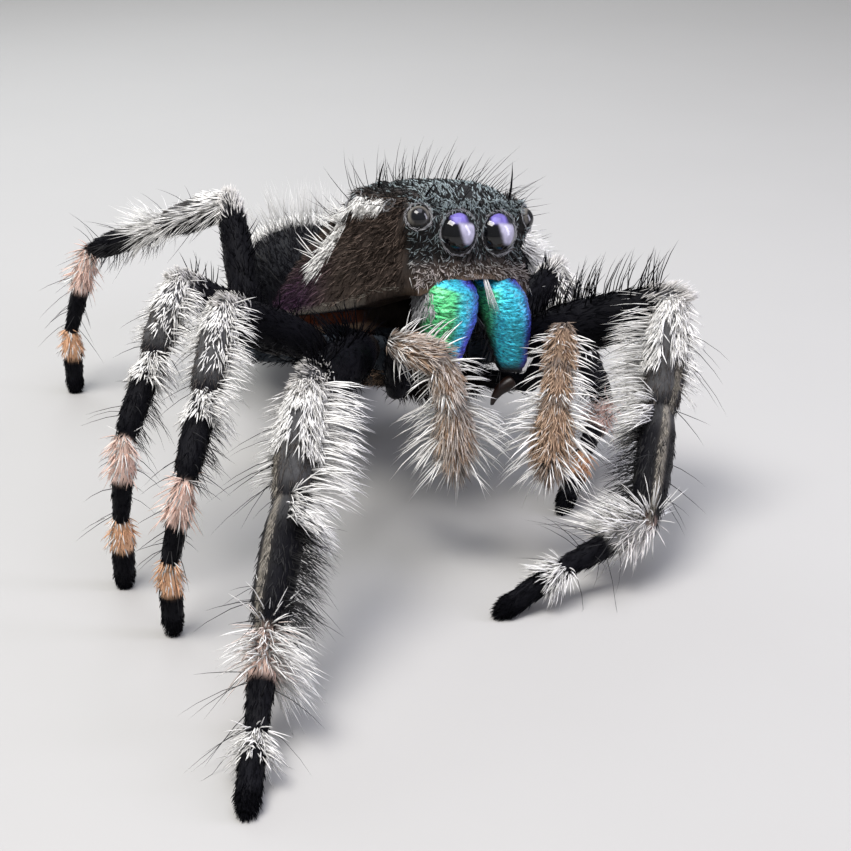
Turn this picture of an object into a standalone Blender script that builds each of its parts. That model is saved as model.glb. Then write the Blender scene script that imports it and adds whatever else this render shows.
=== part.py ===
"""Regal jumping spider (Phidippus regius), standing: a still museum model at life size.

The animal faces -Y, its left side is +X, and its feet stand on z = 0. Lengths are in
millimetres and angles in degrees until they reach a mesh. Points of the head and of all
that hangs from it are (forward, left, up) from the middle of the front eye row.
"""
import math
import random

import bmesh
import bpy
from mathutils import Vector

MM = 0.001

# The front part of the body: where it is held, and how it is turned
FACE = Vector((0.0, -2.62, 5.3))
HEAD_PITCH = 13.7
HEAD_ROLL = 11.4

# Gaps between neighbouring pieces
JOINT_GAP = 0.2
EYE_GAP = 0.06
BODY_GAP = 0.15

# Carapace stations: forward, top, rim height, rim half width, top half width, squareness
CARAPACE = (
    (-0.15, 0.70, -1.12, 1.36, 1.28, 3.4),
    (-0.80, 0.89, -1.24, 1.56, 1.36, 3.4),
    (-1.80, 0.92, -1.42, 1.86, 1.38, 3.0),
    (-2.80, 0.76, -1.54, 2.08, 1.32, 2.6),
    (-3.60, 0.32, -1.60, 2.02, 1.16, 2.3),
    (-4.30, -0.38, -1.62, 1.66, 0.98, 2.2),
    (-4.90, -1.02, -1.58, 1.14, 0.72, 2.1),
    (-5.28, -1.36, -1.50, 0.50, 0.34, 2.0),
)
CARAPACE_RINGS = 17
CARAPACE_TOP_POINTS = 18
CARAPACE_UNDER_POINTS = 6
FACE_CURVE = 0.20
FACE_CURVE_END = -1.2
CLYPEUS_ARCH = 0.46
ARCH_BACK = -1.0
ARCH_END = -1.5

# Eyes: forward, left, up, radius
EYES = {
    "eye_front_middle": (-0.22, 0.44, 0.0, 0.375),
    "eye_front_side": (-0.33, 1.15, 0.25, 0.215),
    "eye_small": (-1.05, 1.27, 0.46, 0.12),
    "eye_rear": (-2.08, 1.27, 0.52, 0.20),
}

# Underbody: sternum, mouth plates and the flanks that the legs grow from
UNDER_FRONT = -1.12
UNDER_BACK = -4.5
UNDER_HALF_WIDTH = 0.95
UNDER_BOTTOM = -2.9

# Chelicerae, each down from the clypeus: share of the length, half width, half depth, forward
CHELICERA_TOP = -0.94
CHELICERA_BOTTOM = -2.5
CHELICERA_LEFT = 0.59
CHELICERA_SPREAD = 0.19
CHELICERA = (
    (0.00, 0.30, 0.28, -0.42),
    (0.10, 0.45, 0.44, -0.37),
    (0.35, 0.52, 0.57, -0.31),
    (0.65, 0.50, 0.52, -0.32),
    (0.88, 0.42, 0.42, -0.36),
    (1.00, 0.28, 0.28, -0.40),
)
# Fangs: radius, place of the root, and how far each swings in and hangs down
FANG_RADIUS = 0.14
FANG_LEFT = 0.86
FANG_SWING = 0.40
FANG_DROP = 0.30

# Abdomen: from the waist back, swung to the left and hanging a little
WAIST = (-5.2, 0.0, -1.98)
WAIST_RADIUS = 0.34
ABDOMEN_SWING = 31.0
ABDOMEN_DROOP = 5.5
ABDOMEN_START = 0.35
ABDOMEN_LENGTH = 6.3
ABDOMEN_HALF_WIDTH = 1.76
ABDOMEN_HALF_HEIGHT = 1.52
ABDOMEN_RINGS = 15
ABDOMEN_SIDES = 20
# Spinnerets: length, droop, then share of the length and half height there
SPINNERET_LENGTH = 0.62
SPINNERET_DROOP = 0.25
SPINNERETS = ((0.0, 0.34), (0.3, 0.36), (0.75, 0.27), (1.0, 0.2))
SPINNERET_TURNS = (35, 145, 215, 325)

# Legs: root of the coxa and root of the femur on the left side, in head points
COXA_INNER = {1: -1.62, 2: -2.46, 3: -3.28, 4: -4.06}
COXA_UP = -2.2
FEMUR_ROOT = {
    "leg_1_right": (-1.15, -1.6, -2.05),
    "leg_2_right": (-2.1, -1.95, -2.1),
    "leg_3_right": (-3.2, -2.0, -2.15),
    "leg_4_right": (-4.25, -2.0, -2.25),
    "leg_1_left": (-1.15, 1.6, -2.05),
    "leg_2_left": (-2.1, 2.0, -2.2),
    "leg_3_left": (-3.2, 2.08, -2.38),
    "leg_4_left": (-4.25, 2.1, -2.25),
}
# Femur, patella, tibia, metatarsus and tarsus lengths
LENGTHS = {
    1: (3.2, 2.05, 2.2, 1.75, 1.25),
    2: (2.8, 1.7, 1.65, 1.4, 1.2),
    3: (2.9, 1.5, 1.6, 1.5, 1.2),
    4: (3.3, 1.65, 2.1, 1.8, 1.3),
}
LEG_2_LEFT_LENGTHS = (2.5, 1.5, 1.6, 1.4, 1.2)
# Half width and half height of the same five segments
THICKNESS = {
    1: ((0.42, 0.54), (0.40, 0.44), (0.38, 0.47), (0.28, 0.29), (0.25, 0.26)),
    2: ((0.36, 0.43), (0.34, 0.37), (0.32, 0.35), (0.26, 0.26), (0.25, 0.25)),
    3: ((0.36, 0.43), (0.33, 0.36), (0.31, 0.33), (0.26, 0.26), (0.25, 0.25)),
    4: ((0.37, 0.45), (0.34, 0.37), (0.32, 0.34), (0.26, 0.26), (0.25, 0.25)),
}
COXA_HALF = (0.35, 0.36)
# Headings of femur, shin and foot, from -Y towards +X, then rises of the first four segments
POSE = {
    "leg_1_right": ((-54, -46, -40), (9, -38.5, -34.5, -27)),
    "leg_2_right": ((-77, -47, -111), (31, -35, -36, -77)),
    "leg_3_right": ((-86, -55, -138), (38, -37, -39, -84)),
    "leg_4_right": ((157, -154, -120), (39, -24, -24, -74)),
    "leg_1_left": ((35, -50, -98), (20.5, -49, -36, -15)),
    "leg_2_left": ((110, -16.5, -61), (20, -41, -36.5, -21.5)),
    "leg_3_left": ((122, 114, 120), (40, -38, -52, -38)),
    "leg_4_left": ((142, 134, 142), (41, -30, -38, -35)),
}
FOOT_DIP = 0.06
FOOT_TIP_RADIUS = 0.2
RING_SPACE = 0.12

# Share of a segment's length, and share of its thickness there
FEMUR_RINGS = ((0.0, 0.62), (0.16, 0.86), (0.40, 1.0), (0.68, 0.96), (0.88, 0.84), (1.0, 0.70))
PATELLA_RINGS = ((0.0, 0.74), (0.26, 0.97), (0.62, 1.0), (1.0, 0.80))
TIBIA_RINGS = ((0.20, 0.97), (0.50, 1.0), (0.80, 0.92), (1.0, 0.66))
METATARSUS_RINGS = ((0.0, 0.84), (0.22, 1.0), (0.70, 0.92), (1.0, 0.82))
TARSUS_RINGS = ((0.22, 1.0), (0.60, 1.0), (0.86, 0.96), (1.0, 0.80))
LEG_SIDES = 10

# Palps: femur path, then knee, heading of the end part and rises of patella, tibia and tarsus
PALP_ROOT = (-1.0, 0.88, -2.66)
PALP_BEND = (-0.45, 1.5, -2.74)
PALPS = {
    "palp_left": ((0.56, 1.42, -1.72), -46.0, (-27.0, -34.0, -44.0)),
    "palp_right": ((0.19, -1.98, -1.87), 29.0, (-10.0, -74.0, -86.0)),
}
PALP_LENGTHS = (0.85, 0.75, 1.2)
PALP_HALF = (0.24, 0.28, 0.27, 0.32)

# Turn between spots that are spread evenly round a form
GOLDEN_ANGLE = 137.5

# Hair forms: share of the length and share of the thickness there, before the point
LOCK_RINGS = ((0.0, 1.0), (0.36, 0.84), (0.72, 0.5))
LOCK_SIDES = 4
SPINE_RINGS = ((0.0, 1.0), (0.5, 0.62))
SPINE_SIDES = 3
ROOT_DEPTH = 0.16
HAIR_CURL = 0.22
FLOOR_CLEAR = 0.2
# Width and thickness of a lock and of a bristle at the root
LOCK_THICKNESS = (0.52, 0.28)
FOOT_TUFT_THICKNESS = (0.36, 0.26)
SPINNERET_THICKNESS = (0.26, 0.26)
PALP_BRISTLE = (0.20, 0.18)
SPINE_THICKNESS = (0.15, 0.15)
# Fringe of the shin: rows by angle round the limb, places along it, and length on each leg
FRINGE_TURNS = (-12, 192)
PATELLA_FRINGE = {1: (0.35, 0.62, 0.88), 2: (0.5, 0.8), 3: (0.5, 0.8), 4: (0.5, 0.8)}
TIBIA_FRINGE = {1: (0.14, 0.34), 2: (0.18, 0.44), 3: (0.18, 0.44), 4: (0.18, 0.44)}
FRINGE_RISE = 58.0
FRINGE_LENGTH = {1: 0.80, 2: 0.58, 3: 0.54, 4: 0.60}
UNDER_FRINGE = {1: (0.3, 0.55, 0.8), 2: (), 3: (), 4: ()}
UNDER_FRINGE_RISE = 50.0
UNDER_FRINGE_LENGTH = 0.4
# Tufts of the foot: share of metatarsus and of tarsus, angles round each, rise and length
METATARSUS_TUFT = (0.26, (5, 175))
TARSUS_TUFT = (0.14, (20, 160))
FOOT_TUFT_RISE = 46.0
FOOT_TUFT_LENGTH = {1: 0.55, 2: 0.36, 3: 0.34, 4: 0.38}
# Bristles on top of the femur: number on each leg, place along it, lean to the sides, length
FEMUR_SPINES = {1: 6, 2: 3, 3: 3, 4: 3}
FEMUR_SPINES_START = 0.32
FEMUR_SPINES_END = 0.68
FEMUR_SPINE_LEAN = 16.0
FEMUR_SPINE_RISE = 72.0
FEMUR_SPINE_LENGTH = {1: 0.70, 2: 0.40, 3: 0.40, 4: 0.42}
# Bristles of a palp: angles round it, rise, then number and length on shin and on tarsus
PALP_BRISTLE_TURNS = (-10, 190, 55, 125)
PALP_BRISTLE_RISE = 64.0
PALP_SHIN_BRISTLES = (8, 0.5)
PALP_TARSUS_BRISTLES = (12, 0.55)
SPINNERET_HAIR_RISE = 22.0
SPINNERET_HAIR_LENGTH = 0.42
# White side tuft of the carapace: forward, angle over the section and length, front to back
SIDE_TUFT_FRONT = (-2.36, 37.0, 0.34)
SIDE_TUFT_BACK = (-3.10, 14.0, 0.62)
SIDE_TUFT_LOCKS = 6
SIDE_TUFT_RISE = 40.0
SIDE_TUFT_DROOP = 0.5
# Bristles of the head on one side: forward, angle over the section, length, lean forward
HEAD_SPINES = (
    (-0.45, 62.0, 0.62, 0.5),
    (-1.90, 68.0, 0.66, -0.1),
    (-0.30, 80.0, 0.36, 0.4),
    (-1.00, 76.0, 0.40, 0.2),
    (-1.45, 60.0, 0.40, 0.1),
    (-2.60, 74.0, 0.42, -0.3),
    (-0.70, 40.0, 0.50, 0.6),
)
HEAD_SPINE_RISE = 30.0
# Pale band round the front of the abdomen, and bristles over its back
BAND_SHARE = 0.28
BAND_START = -15.0
BAND_TURN = 210.0
BAND_LOCKS = 11
BAND_RISE = 46.0
BAND_LENGTH = 0.46
BACK_SPINES = 16
BACK_SPINES_START = 0.44
BACK_SPINES_END = 0.90
BACK_SPINE_RISE = 40.0
BACK_SPINE_LENGTH = 0.5

# Colours of the solids, with roughness
BLACK_HAIR = ((0.030, 0.030, 0.034), 0.65)
DARK_SHELL = ((0.050, 0.042, 0.040), 0.60)
EYE_BLACK = ((0.006, 0.006, 0.008), 0.08)
GREEN_BLUE = ((0.020, 0.260, 0.220), 0.25)
TAN = ((0.420, 0.270, 0.180), 0.70)
FANG_BROWN = ((0.060, 0.020, 0.012), 0.30)


def head_axes():
    """Forward, left and up of the front part of the body."""
    pitch = math.radians(HEAD_PITCH)
    roll = math.radians(HEAD_ROLL)
    forward = Vector((0.0, -math.cos(pitch), math.sin(pitch)))
    level_left = Vector((1.0, 0.0, 0.0))
    level_up = forward.cross(level_left)
    left = level_left * math.cos(roll) - level_up * math.sin(roll)
    up = level_up * math.cos(roll) + level_left * math.sin(roll)
    return forward, left, up


FORWARD, LEFT, UP = head_axes()


def head(point):
    """A head point (forward, left, up) in the part's frame."""
    return FACE + FORWARD * point[0] + LEFT * point[1] + UP * point[2]


def direction(heading, rise):
    """The unit vector at a heading, from -Y towards +X, and a rise above level."""
    turn = math.radians(heading)
    lift = math.radians(rise)
    flat = math.cos(lift)
    return Vector((math.sin(turn) * flat, -math.cos(turn) * flat, math.sin(lift)))


def level_side(heading):
    """The level unit vector across a segment with that heading."""
    turn = math.radians(heading)
    return Vector((math.cos(turn), math.sin(turn), 0.0))


def blend_rows(rows, x):
    """A smooth reading at x from rows sorted by their first number, falling or rising."""
    keys = [row[0] for row in rows]
    if keys[0] > keys[-1]:
        return blend_rows([(-row[0],) + tuple(row[1:]) for row in rows], -x)
    x = min(max(x, keys[0]), keys[-1])
    last = len(rows) - 1
    i = max(k for k in range(last) if keys[k] <= x)
    t = (x - keys[i]) / (keys[i + 1] - keys[i])
    before, a, b, after = rows[max(i - 1, 0)], rows[i], rows[i + 1], rows[min(i + 2, last)]
    values = []
    for p, q, r, s in zip(before[1:], a[1:], b[1:], after[1:]):
        values.append(0.5 * (2 * q + (r - p) * t + (2 * p - 5 * q + 4 * r - s) * t * t
                             + (3 * q - p - 3 * r + s) * t ** 3))
    return values


def material(name, look):
    """A Principled material, made once."""
    found = bpy.data.materials.get(name)
    if found:
        return found
    made = bpy.data.materials.new(name)
    made.use_nodes = True
    shader = made.node_tree.nodes["Principled BSDF"]
    shader.inputs["Base Color"].default_value = (*look[0], 1.0)
    shader.inputs["Roughness"].default_value = look[1]
    shader.inputs["Metallic"].default_value = 0.0
    return made


def add_object(name, mesh_data, look, group):
    """Put a mesh into the scene under the name of its part."""
    mesh = bpy.data.meshes.new(name)
    mesh_data.to_mesh(mesh)
    mesh_data.free()
    mesh.shade_smooth()
    made = bpy.data.objects.new(name, mesh)
    group.objects.link(made)
    if look is not None:
        mesh.materials.append(material("finish_" + name, look))
    return made


def loft(rings, front_tip=None, back_tip=None):
    """Close a row of rings into one body; each end is a fan round its tip or its middle."""
    made = bmesh.new()
    rows = [[made.verts.new(point * MM) for point in ring] for ring in rings]
    count = len(rings[0])
    for row, after in zip(rows, rows[1:]):
        for k in range(count):
            n = (k + 1) % count
            made.faces.new((row[k], row[n], after[n], after[k]))
    for row, ring, tip in ((rows[0], rings[0], front_tip), (rows[-1], rings[-1], back_tip)):
        middle = tip if tip is not None else sum(ring, Vector()) / count
        hub = made.verts.new(middle * MM)
        for k in range(count):
            made.faces.new((row[k], row[(k + 1) % count], hub))
    bmesh.ops.recalc_face_normals(made, faces=made.faces)
    bmesh.ops.triangulate(made, faces=made.faces)
    return made


def ellipse(centre, across, tall, half_width, half_height, sides):
    """Points round an ellipse."""
    ring = []
    for k in range(sides):
        turn = math.tau * (k + 0.5) / sides
        ring.append(centre + across * (half_width * math.cos(turn)) + tall * (half_height * math.sin(turn)))
    return ring


def slide_to_plane(ring, along, centre, normal):
    """Slide each point along the segment on to the plane through centre."""
    share = along.dot(normal)
    return [point - along * ((point - centre).dot(normal) / share) for point in ring]


class Segment:
    """One straight stretch of a limb, with the rings that give its thickness."""

    def __init__(self, start, end, heading, half, rings):
        self.start = start
        self.end = end
        self.along = (end - start).normalized()
        self.side = level_side(heading)
        self.tall = self.along.cross(self.side).normalized()
        self.half = half
        self.rings = rings

    def surface(self, share, turn):
        """A point on the skin at a share of the length and an angle round it, and the way out there."""
        angle = math.radians(turn)
        out = self.side * math.cos(angle) + self.tall * math.sin(angle)
        centre = self.start.lerp(self.end, share)
        reach = 0.94 * self.half[0] * self.half[1] / math.hypot(self.half[1] * math.cos(angle),
                                                                self.half[0] * math.sin(angle))
        return centre + out * reach, out

    def clearance(self, point):
        """How far a point lies outside the segment, at least."""
        length = (self.end - self.start).length
        nearest = self.start + self.along * min(max((point - self.start).dot(self.along), 0.0), length)
        return (point - nearest).length - max(self.half)


def limb(segments, start_normal, end_normal, end_gap=JOINT_GAP):
    """Rings along one or two segments, with mitred ends a half gap short of each joint."""
    rings = []
    side_before = segments[0].side
    for number, segment in enumerate(segments):
        side = segment.side if segment.side.dot(side_before) >= 0 else -segment.side
        side_before = side
        length = (segment.end - segment.start).length
        after = segments[number + 1] if number + 1 < len(segments) else None
        first_plane = start_normal if number == 0 else bisector(segments[number - 1], segment)
        last_plane = bisector(segment, after) if after else end_normal
        for share, size in segment.rings:
            reach = segment.half[1] * size
            if share > 0.0 and length * share < reach * lean(segment.along, first_plane) + RING_SPACE:
                continue
            if share < 1.0 and length * (1 - share) < reach * lean(segment.along, last_plane) + RING_SPACE:
                continue
            centre = segment.start + segment.along * (length * share)
            normal = segment.along
            if share == 0.0:
                normal = first_plane
                centre += segment.along * (JOINT_GAP / 2 / segment.along.dot(normal))
            elif share == 1.0:
                normal = last_plane or segment.along
                if after is None:
                    centre -= segment.along * (end_gap / 2 / segment.along.dot(normal))
            half_width, half_height = segment.half[0] * size, segment.half[1] * size
            tall = side.cross(segment.along).normalized()
            ring = ellipse(centre, side, tall, half_width, half_height, LEG_SIDES)
            rings.append(slide_to_plane(ring, segment.along, centre, normal))
    return rings


def lean(along, normal):
    """How far a mitred end runs along the segment for each unit of its half height."""
    if normal is None:
        return 0.0
    share = along.dot(normal)
    return math.sqrt(max(1.0 - share * share, 0.0)) / share


def hair(root, aim, bend, length, thickness, rings, sides):
    """A tapered lock or bristle that bends over, from a root sunk in the skin to a point."""
    thin = bend.cross(aim).normalized()
    wide = aim.cross(thin).normalized()
    row = []
    for share, size in rings:
        reach = length * share - (ROOT_DEPTH if share == 0.0 else 0.0)
        centre = root + aim * reach + bend * (length * HAIR_CURL * share * share)
        row.append([])
        for k in range(sides):
            turn = math.tau * k / sides
            row[-1].append(centre + wide * (thickness[0] / 2 * size * math.cos(turn))
                           + thin * (thickness[1] / 2 * size * math.sin(turn)))
    tip = root + aim * length + bend * (length * HAIR_CURL)
    return loft(row, back_tip=tip)


class Coat:
    """The locks and bristles of one node, fused to it in a single union."""

    def __init__(self, node, beside=None):
        self.node = node
        self.beside = beside
        self.pieces = new_collection("coat_of_" + node.name)
        self.random = random.Random("coat " + node.name)

    def lock(self, root, out, along, rise, length, thickness=LOCK_THICKNESS):
        """A flat, tapered lock."""
        self.add(root, out, along, rise, length, thickness, LOCK_RINGS, LOCK_SIDES)

    def bristle(self, root, out, along, rise, length, thickness=SPINE_THICKNESS):
        """A thin, pointed bristle."""
        self.add(root, out, along, rise, length, thickness, SPINE_RINGS, SPINE_SIDES)

    def add(self, root, out, along, rise, length, thickness, rings, sides):
        """One hair form that rises from the skin and bends along it, a little varied."""
        angle = math.radians(rise + self.random.uniform(-6, 6))
        aim = (along * math.cos(angle) + out * math.sin(angle)).normalized()
        length *= self.random.uniform(0.88, 1.12)
        tip = root + (aim + along * HAIR_CURL) * length
        if tip.z < FLOOR_CLEAR:
            return
        if self.beside and self.beside.clearance(tip) < BODY_GAP:
            return
        if self.beside and self.beside.clearance(root) < BODY_GAP + thickness[0] / 2:
            return
        piece = hair(root, aim, along, length, thickness, rings, sides)
        add_object("hair_%03d" % len(self.pieces.objects), piece, None, self.pieces)

    def fuse(self):
        """Join everything to the node."""
        combine(self.node, self.pieces, "UNION")


def fringe_shin(name, femur, patella, tibia, node):
    """White locks down both sides of the patella and of the root of the tibia."""
    number = int(name[4])
    coat = Coat(node, femur)
    for turn in FRINGE_TURNS:
        for segment, shares in ((patella, PATELLA_FRINGE[number]), (tibia, TIBIA_FRINGE[number])):
            for share in shares:
                root, out = segment.surface(share, turn)
                coat.lock(root, out, segment.along, FRINGE_RISE, FRINGE_LENGTH[number])
    for share in UNDER_FRINGE[number]:
        root, out = tibia.surface(share, -90)
        coat.lock(root, out, tibia.along, UNDER_FRINGE_RISE, UNDER_FRINGE_LENGTH)
    coat.fuse()


def fringe_foot(name, metatarsus, tarsus, node):
    """Tufts at the roots of the metatarsus and of the tarsus."""
    coat = Coat(node)
    length = FOOT_TUFT_LENGTH[int(name[4])]
    for segment, (share, turns) in ((metatarsus, METATARSUS_TUFT), (tarsus, TARSUS_TUFT)):
        for turn in turns:
            root, out = segment.surface(share, turn)
            coat.lock(root, out, segment.along, FOOT_TUFT_RISE, length, FOOT_TUFT_THICKNESS)
    coat.fuse()


def fringe_femur(name, femur, patella, node):
    """Upright black bristles along the top of the femur."""
    number = int(name[4])
    coat = Coat(node, patella)
    count = FEMUR_SPINES[number]
    for k in range(count):
        share = FEMUR_SPINES_START + (FEMUR_SPINES_END - FEMUR_SPINES_START) * k / (count - 1)
        root, out = femur.surface(share, 90 + (FEMUR_SPINE_LEAN if k % 2 else -FEMUR_SPINE_LEAN))
        coat.bristle(root, out, femur.along, FEMUR_SPINE_RISE, FEMUR_SPINE_LENGTH[number])
    coat.fuse()


def fringe_palp(segments, node, bristles):
    """Pale bristles down both sides and over the top of a palp's segments."""
    coat = Coat(node)
    count, length = bristles
    for k in range(count):
        place = (k + 0.5) / count * len(segments)
        segment = segments[min(int(place), len(segments) - 1)]
        share = 0.18 + 0.66 * (place - int(place))
        root, out = segment.surface(share, PALP_BRISTLE_TURNS[k % len(PALP_BRISTLE_TURNS)])
        coat.bristle(root, out, segment.along, PALP_BRISTLE_RISE, length, PALP_BRISTLE)
    coat.fuse()


def solve_leg(name):
    """The six joints of a leg, from the root of the femur to the tip on the floor."""
    number = int(name[4])
    lengths = LEG_2_LEFT_LENGTHS if name == "leg_2_left" else LENGTHS[number]
    (femur_turn, shin_turn, foot_turn), rises = POSE[name]
    headings = (femur_turn, shin_turn, shin_turn, foot_turn, foot_turn)
    joints = [head(FEMUR_ROOT[name])]
    for length, heading, rise in zip(lengths, headings, rises):
        joints.append(joints[-1] + direction(heading, rise) * length)
    rise = -60.0
    for _ in range(12):
        end_height = FOOT_TIP_RADIUS * math.cos(math.radians(rise)) - FOOT_DIP
        drop = (joints[-1].z - end_height) / lengths[4]
        rise = -math.degrees(math.asin(min(drop, 1.0)))
    joints.append(joints[-1] + direction(foot_turn, rise) * lengths[4])
    return joints, headings, THICKNESS[number]


def bisector(a, b):
    """The direction half way between two segments."""
    return (a.along + b.along).normalized()


def flatten_foot(made):
    """Cut a foot level with the floor, so that it stands on a small flat."""
    geometry = made.verts[:] + made.edges[:] + made.faces[:]
    cut = bmesh.ops.bisect_plane(made, geom=geometry, dist=1e-7, plane_co=(0, 0, 0), plane_no=(0, 0, 1),
                                 clear_inner=True)
    rim = [e for e in cut["geom_cut"] if isinstance(e, bmesh.types.BMEdge)]
    filled = bmesh.ops.contextual_create(made, geom=rim)["faces"]
    for face in filled:
        for vertex in face.verts:
            vertex.co.z = 0.0
    bmesh.ops.triangulate(made, faces=made.faces)
    bmesh.ops.recalc_face_normals(made, faces=made.faces)


def build_leg(name, group):
    """Coxa, femur, shin and foot of one leg."""
    joints, headings, half = solve_leg(name)
    number = int(name[4])
    side = 1 if name.endswith("left") else -1
    rings = (FEMUR_RINGS, PATELLA_RINGS, TIBIA_RINGS, METATARSUS_RINGS, TARSUS_RINGS)
    parts = []
    for k in range(5):
        parts.append(Segment(joints[k], joints[k + 1], headings[k], half[k], rings[k]))
    femur, patella, tibia, metatarsus, tarsus = parts
    inner = head((COXA_INNER[number], side * (UNDER_HALF_WIDTH + BODY_GAP), COXA_UP))
    coxa_along = (joints[0] - inner).normalized()
    to_femur = (coxa_along + femur.along).normalized()
    coxa_rings = []
    for share, size in ((0.0, 1.0), (0.45, 1.02), (1.0, 0.84)):
        centre = inner.lerp(joints[0], share)
        ring = ellipse(centre, FORWARD, UP, COXA_HALF[0] * size, COXA_HALF[1] * size, LEG_SIDES)
        if share == 1.0:
            centre = centre - coxa_along * (JOINT_GAP / 2 / coxa_along.dot(to_femur))
            ring = ellipse(centre, FORWARD, UP, COXA_HALF[0] * size, COXA_HALF[1] * size, LEG_SIDES)
            ring = slide_to_plane(ring, coxa_along, centre, to_femur)
        coxa_rings.append(ring)
    add_object(name + "_coxa", loft(coxa_rings), DARK_SHELL, group)
    knee = bisector(femur, patella)
    ankle = bisector(tibia, metatarsus)
    femur_node = add_object(name + "_femur", loft(limb([femur], to_femur, knee)), BLACK_HAIR, group)
    fringe_femur(name, femur, patella, femur_node)
    shin_node = add_object(name + "_shin", loft(limb([patella, tibia], knee, ankle)), BLACK_HAIR, group)
    fringe_shin(name, femur, patella, tibia, shin_node)
    foot = loft(limb([metatarsus, tarsus], ankle, None, end_gap=0.0))
    flatten_foot(foot)
    foot_node = add_object(name + "_foot", foot, BLACK_HAIR, group)
    fringe_foot(name, metatarsus, tarsus, foot_node)


def build_palp(name, group):
    """Femur, shin and tarsus of one palp."""
    knee_point, heading, rises = PALPS[name]
    side = 1 if name.endswith("left") else -1
    root = head((PALP_ROOT[0], side * PALP_ROOT[1], PALP_ROOT[2]))
    bend = head((PALP_BEND[0], side * PALP_BEND[1], PALP_BEND[2]))
    joints = [head(knee_point)]
    for length, rise in zip(PALP_LENGTHS, rises):
        joints.append(joints[-1] + direction(heading, rise) * length)
    first = (bend - root).normalized()
    second = (joints[0] - bend).normalized()
    patella = Segment(joints[0], joints[1], heading, (PALP_HALF[1],) * 2,
                      ((0.0, 0.85), (0.35, 1.0), (0.7, 1.0), (1.0, 0.86)))
    tibia = Segment(joints[1], joints[2], heading, (PALP_HALF[2],) * 2,
                    ((0.3, 1.0), (0.7, 1.0), (1.0, 0.88)))
    tarsus = Segment(joints[2], joints[3], heading, (PALP_HALF[3],) * 2,
                     ((0.0, 0.74), (0.25, 0.95), (0.55, 1.0), (0.82, 0.82), (0.95, 0.56), (1.0, 0.36)))
    knee = (second + patella.along).normalized()
    bend_normal = (first + second).normalized()
    half = PALP_HALF[0]
    side_vector = first.cross(UP).normalized()
    femur_rings = []
    stretches = ((root, bend, first, (0.0, 0.5)), (bend, joints[0], second, (0.0, 0.35, 0.7, 1.0)))
    for start, end, along, shares in stretches:
        tall = side_vector.cross(along).normalized()
        across = along.cross(tall).normalized()
        for share in shares:
            centre = start.lerp(end, share)
            normal = along
            if along is second and share == 0.0:
                normal = bend_normal
            if share == 1.0:
                normal = knee
                centre = centre - along * (JOINT_GAP / 2 / along.dot(normal))
            ring = ellipse(centre, across, tall, half, half, LEG_SIDES)
            femur_rings.append(slide_to_plane(ring, along, centre, normal))
    add_object(name + "_femur", loft(femur_rings), DARK_SHELL, group)
    wrist = bisector(tibia, tarsus)
    shin = add_object(name + "_shin", loft(limb([patella, tibia], knee, wrist)), TAN, group)
    fringe_palp([patella, tibia], shin, PALP_SHIN_BRISTLES)
    end = add_object(name + "_tarsus", loft(limb([tarsus], wrist, None, end_gap=0.0)), TAN, group)
    fringe_palp([tarsus], end, PALP_TARSUS_BRISTLES)


def carapace_section(forward, inset=1.0):
    """One cross-section of the carapace: over the top, then back along the underside."""
    top, rim, rim_half, top_half, power = blend_rows(CARAPACE, forward)
    face_share = min(max((forward - FACE_CURVE_END) / (-0.15 - FACE_CURVE_END), 0.0), 1.0)
    arch_share = min(max((forward - ARCH_END) / (ARCH_BACK - ARCH_END), 0.0), 1.0)
    middle = (top + rim) / 2
    points = []
    for k in range(CARAPACE_TOP_POINTS + 1):
        turn = math.pi * k / CARAPACE_TOP_POINTS
        x = abs(math.cos(turn)) ** (2 / power)
        y = abs(math.sin(turn)) ** (2 / power)
        left = math.copysign(x * (rim_half + (top_half - rim_half) * y), math.cos(turn))
        points.append((left, rim + (top - rim) * y))
    for k in range(1, CARAPACE_UNDER_POINTS):
        left = -rim_half + 2 * rim_half * k / CARAPACE_UNDER_POINTS
        points.append((left, rim + CLYPEUS_ARCH * arch_share * (1 - (left / rim_half) ** 2)))
    ring = []
    for left, up in points:
        left *= inset
        up = middle + (up - middle) * inset
        ring.append(head((forward - FACE_CURVE * face_share * left * left, left, up)))
    return ring


def carapace_surface(forward, turn, side):
    """A point of the carapace at an angle over its section, 0 at the rim, and the way out there."""
    def at(place, angle):
        top, rim, rim_half, top_half, power = blend_rows(CARAPACE, place)
        x = math.cos(math.radians(angle)) ** (2 / power)
        y = math.sin(math.radians(angle)) ** (2 / power)
        left = side * x * (rim_half + (top_half - rim_half) * y)
        return head((place, left, rim + (top - rim) * y))
    here = at(forward, turn)
    out = (at(forward + 0.05, turn) - here).cross(at(forward, turn + 1) - here).normalized()
    return here, out if out.dot(here - head((forward, 0.0, -0.6))) > 0 else -out


def combine(target, cutters, operation):
    """Apply one Boolean with a collection of closed meshes, then drop the collection."""
    modifier = target.modifiers.new("shape", "BOOLEAN")
    modifier.operation = operation
    modifier.operand_type = "COLLECTION"
    modifier.collection = cutters
    modifier.solver = "EXACT"
    bpy.context.view_layer.update()
    evaluated = target.evaluated_get(bpy.context.evaluated_depsgraph_get())
    mesh = bpy.data.meshes.new_from_object(evaluated)
    target.modifiers.remove(modifier)
    target.data = mesh
    for cutter in list(cutters.objects):
        bpy.data.objects.remove(cutter)
    bpy.data.collections.remove(cutters)
    keep_largest(target)


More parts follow.
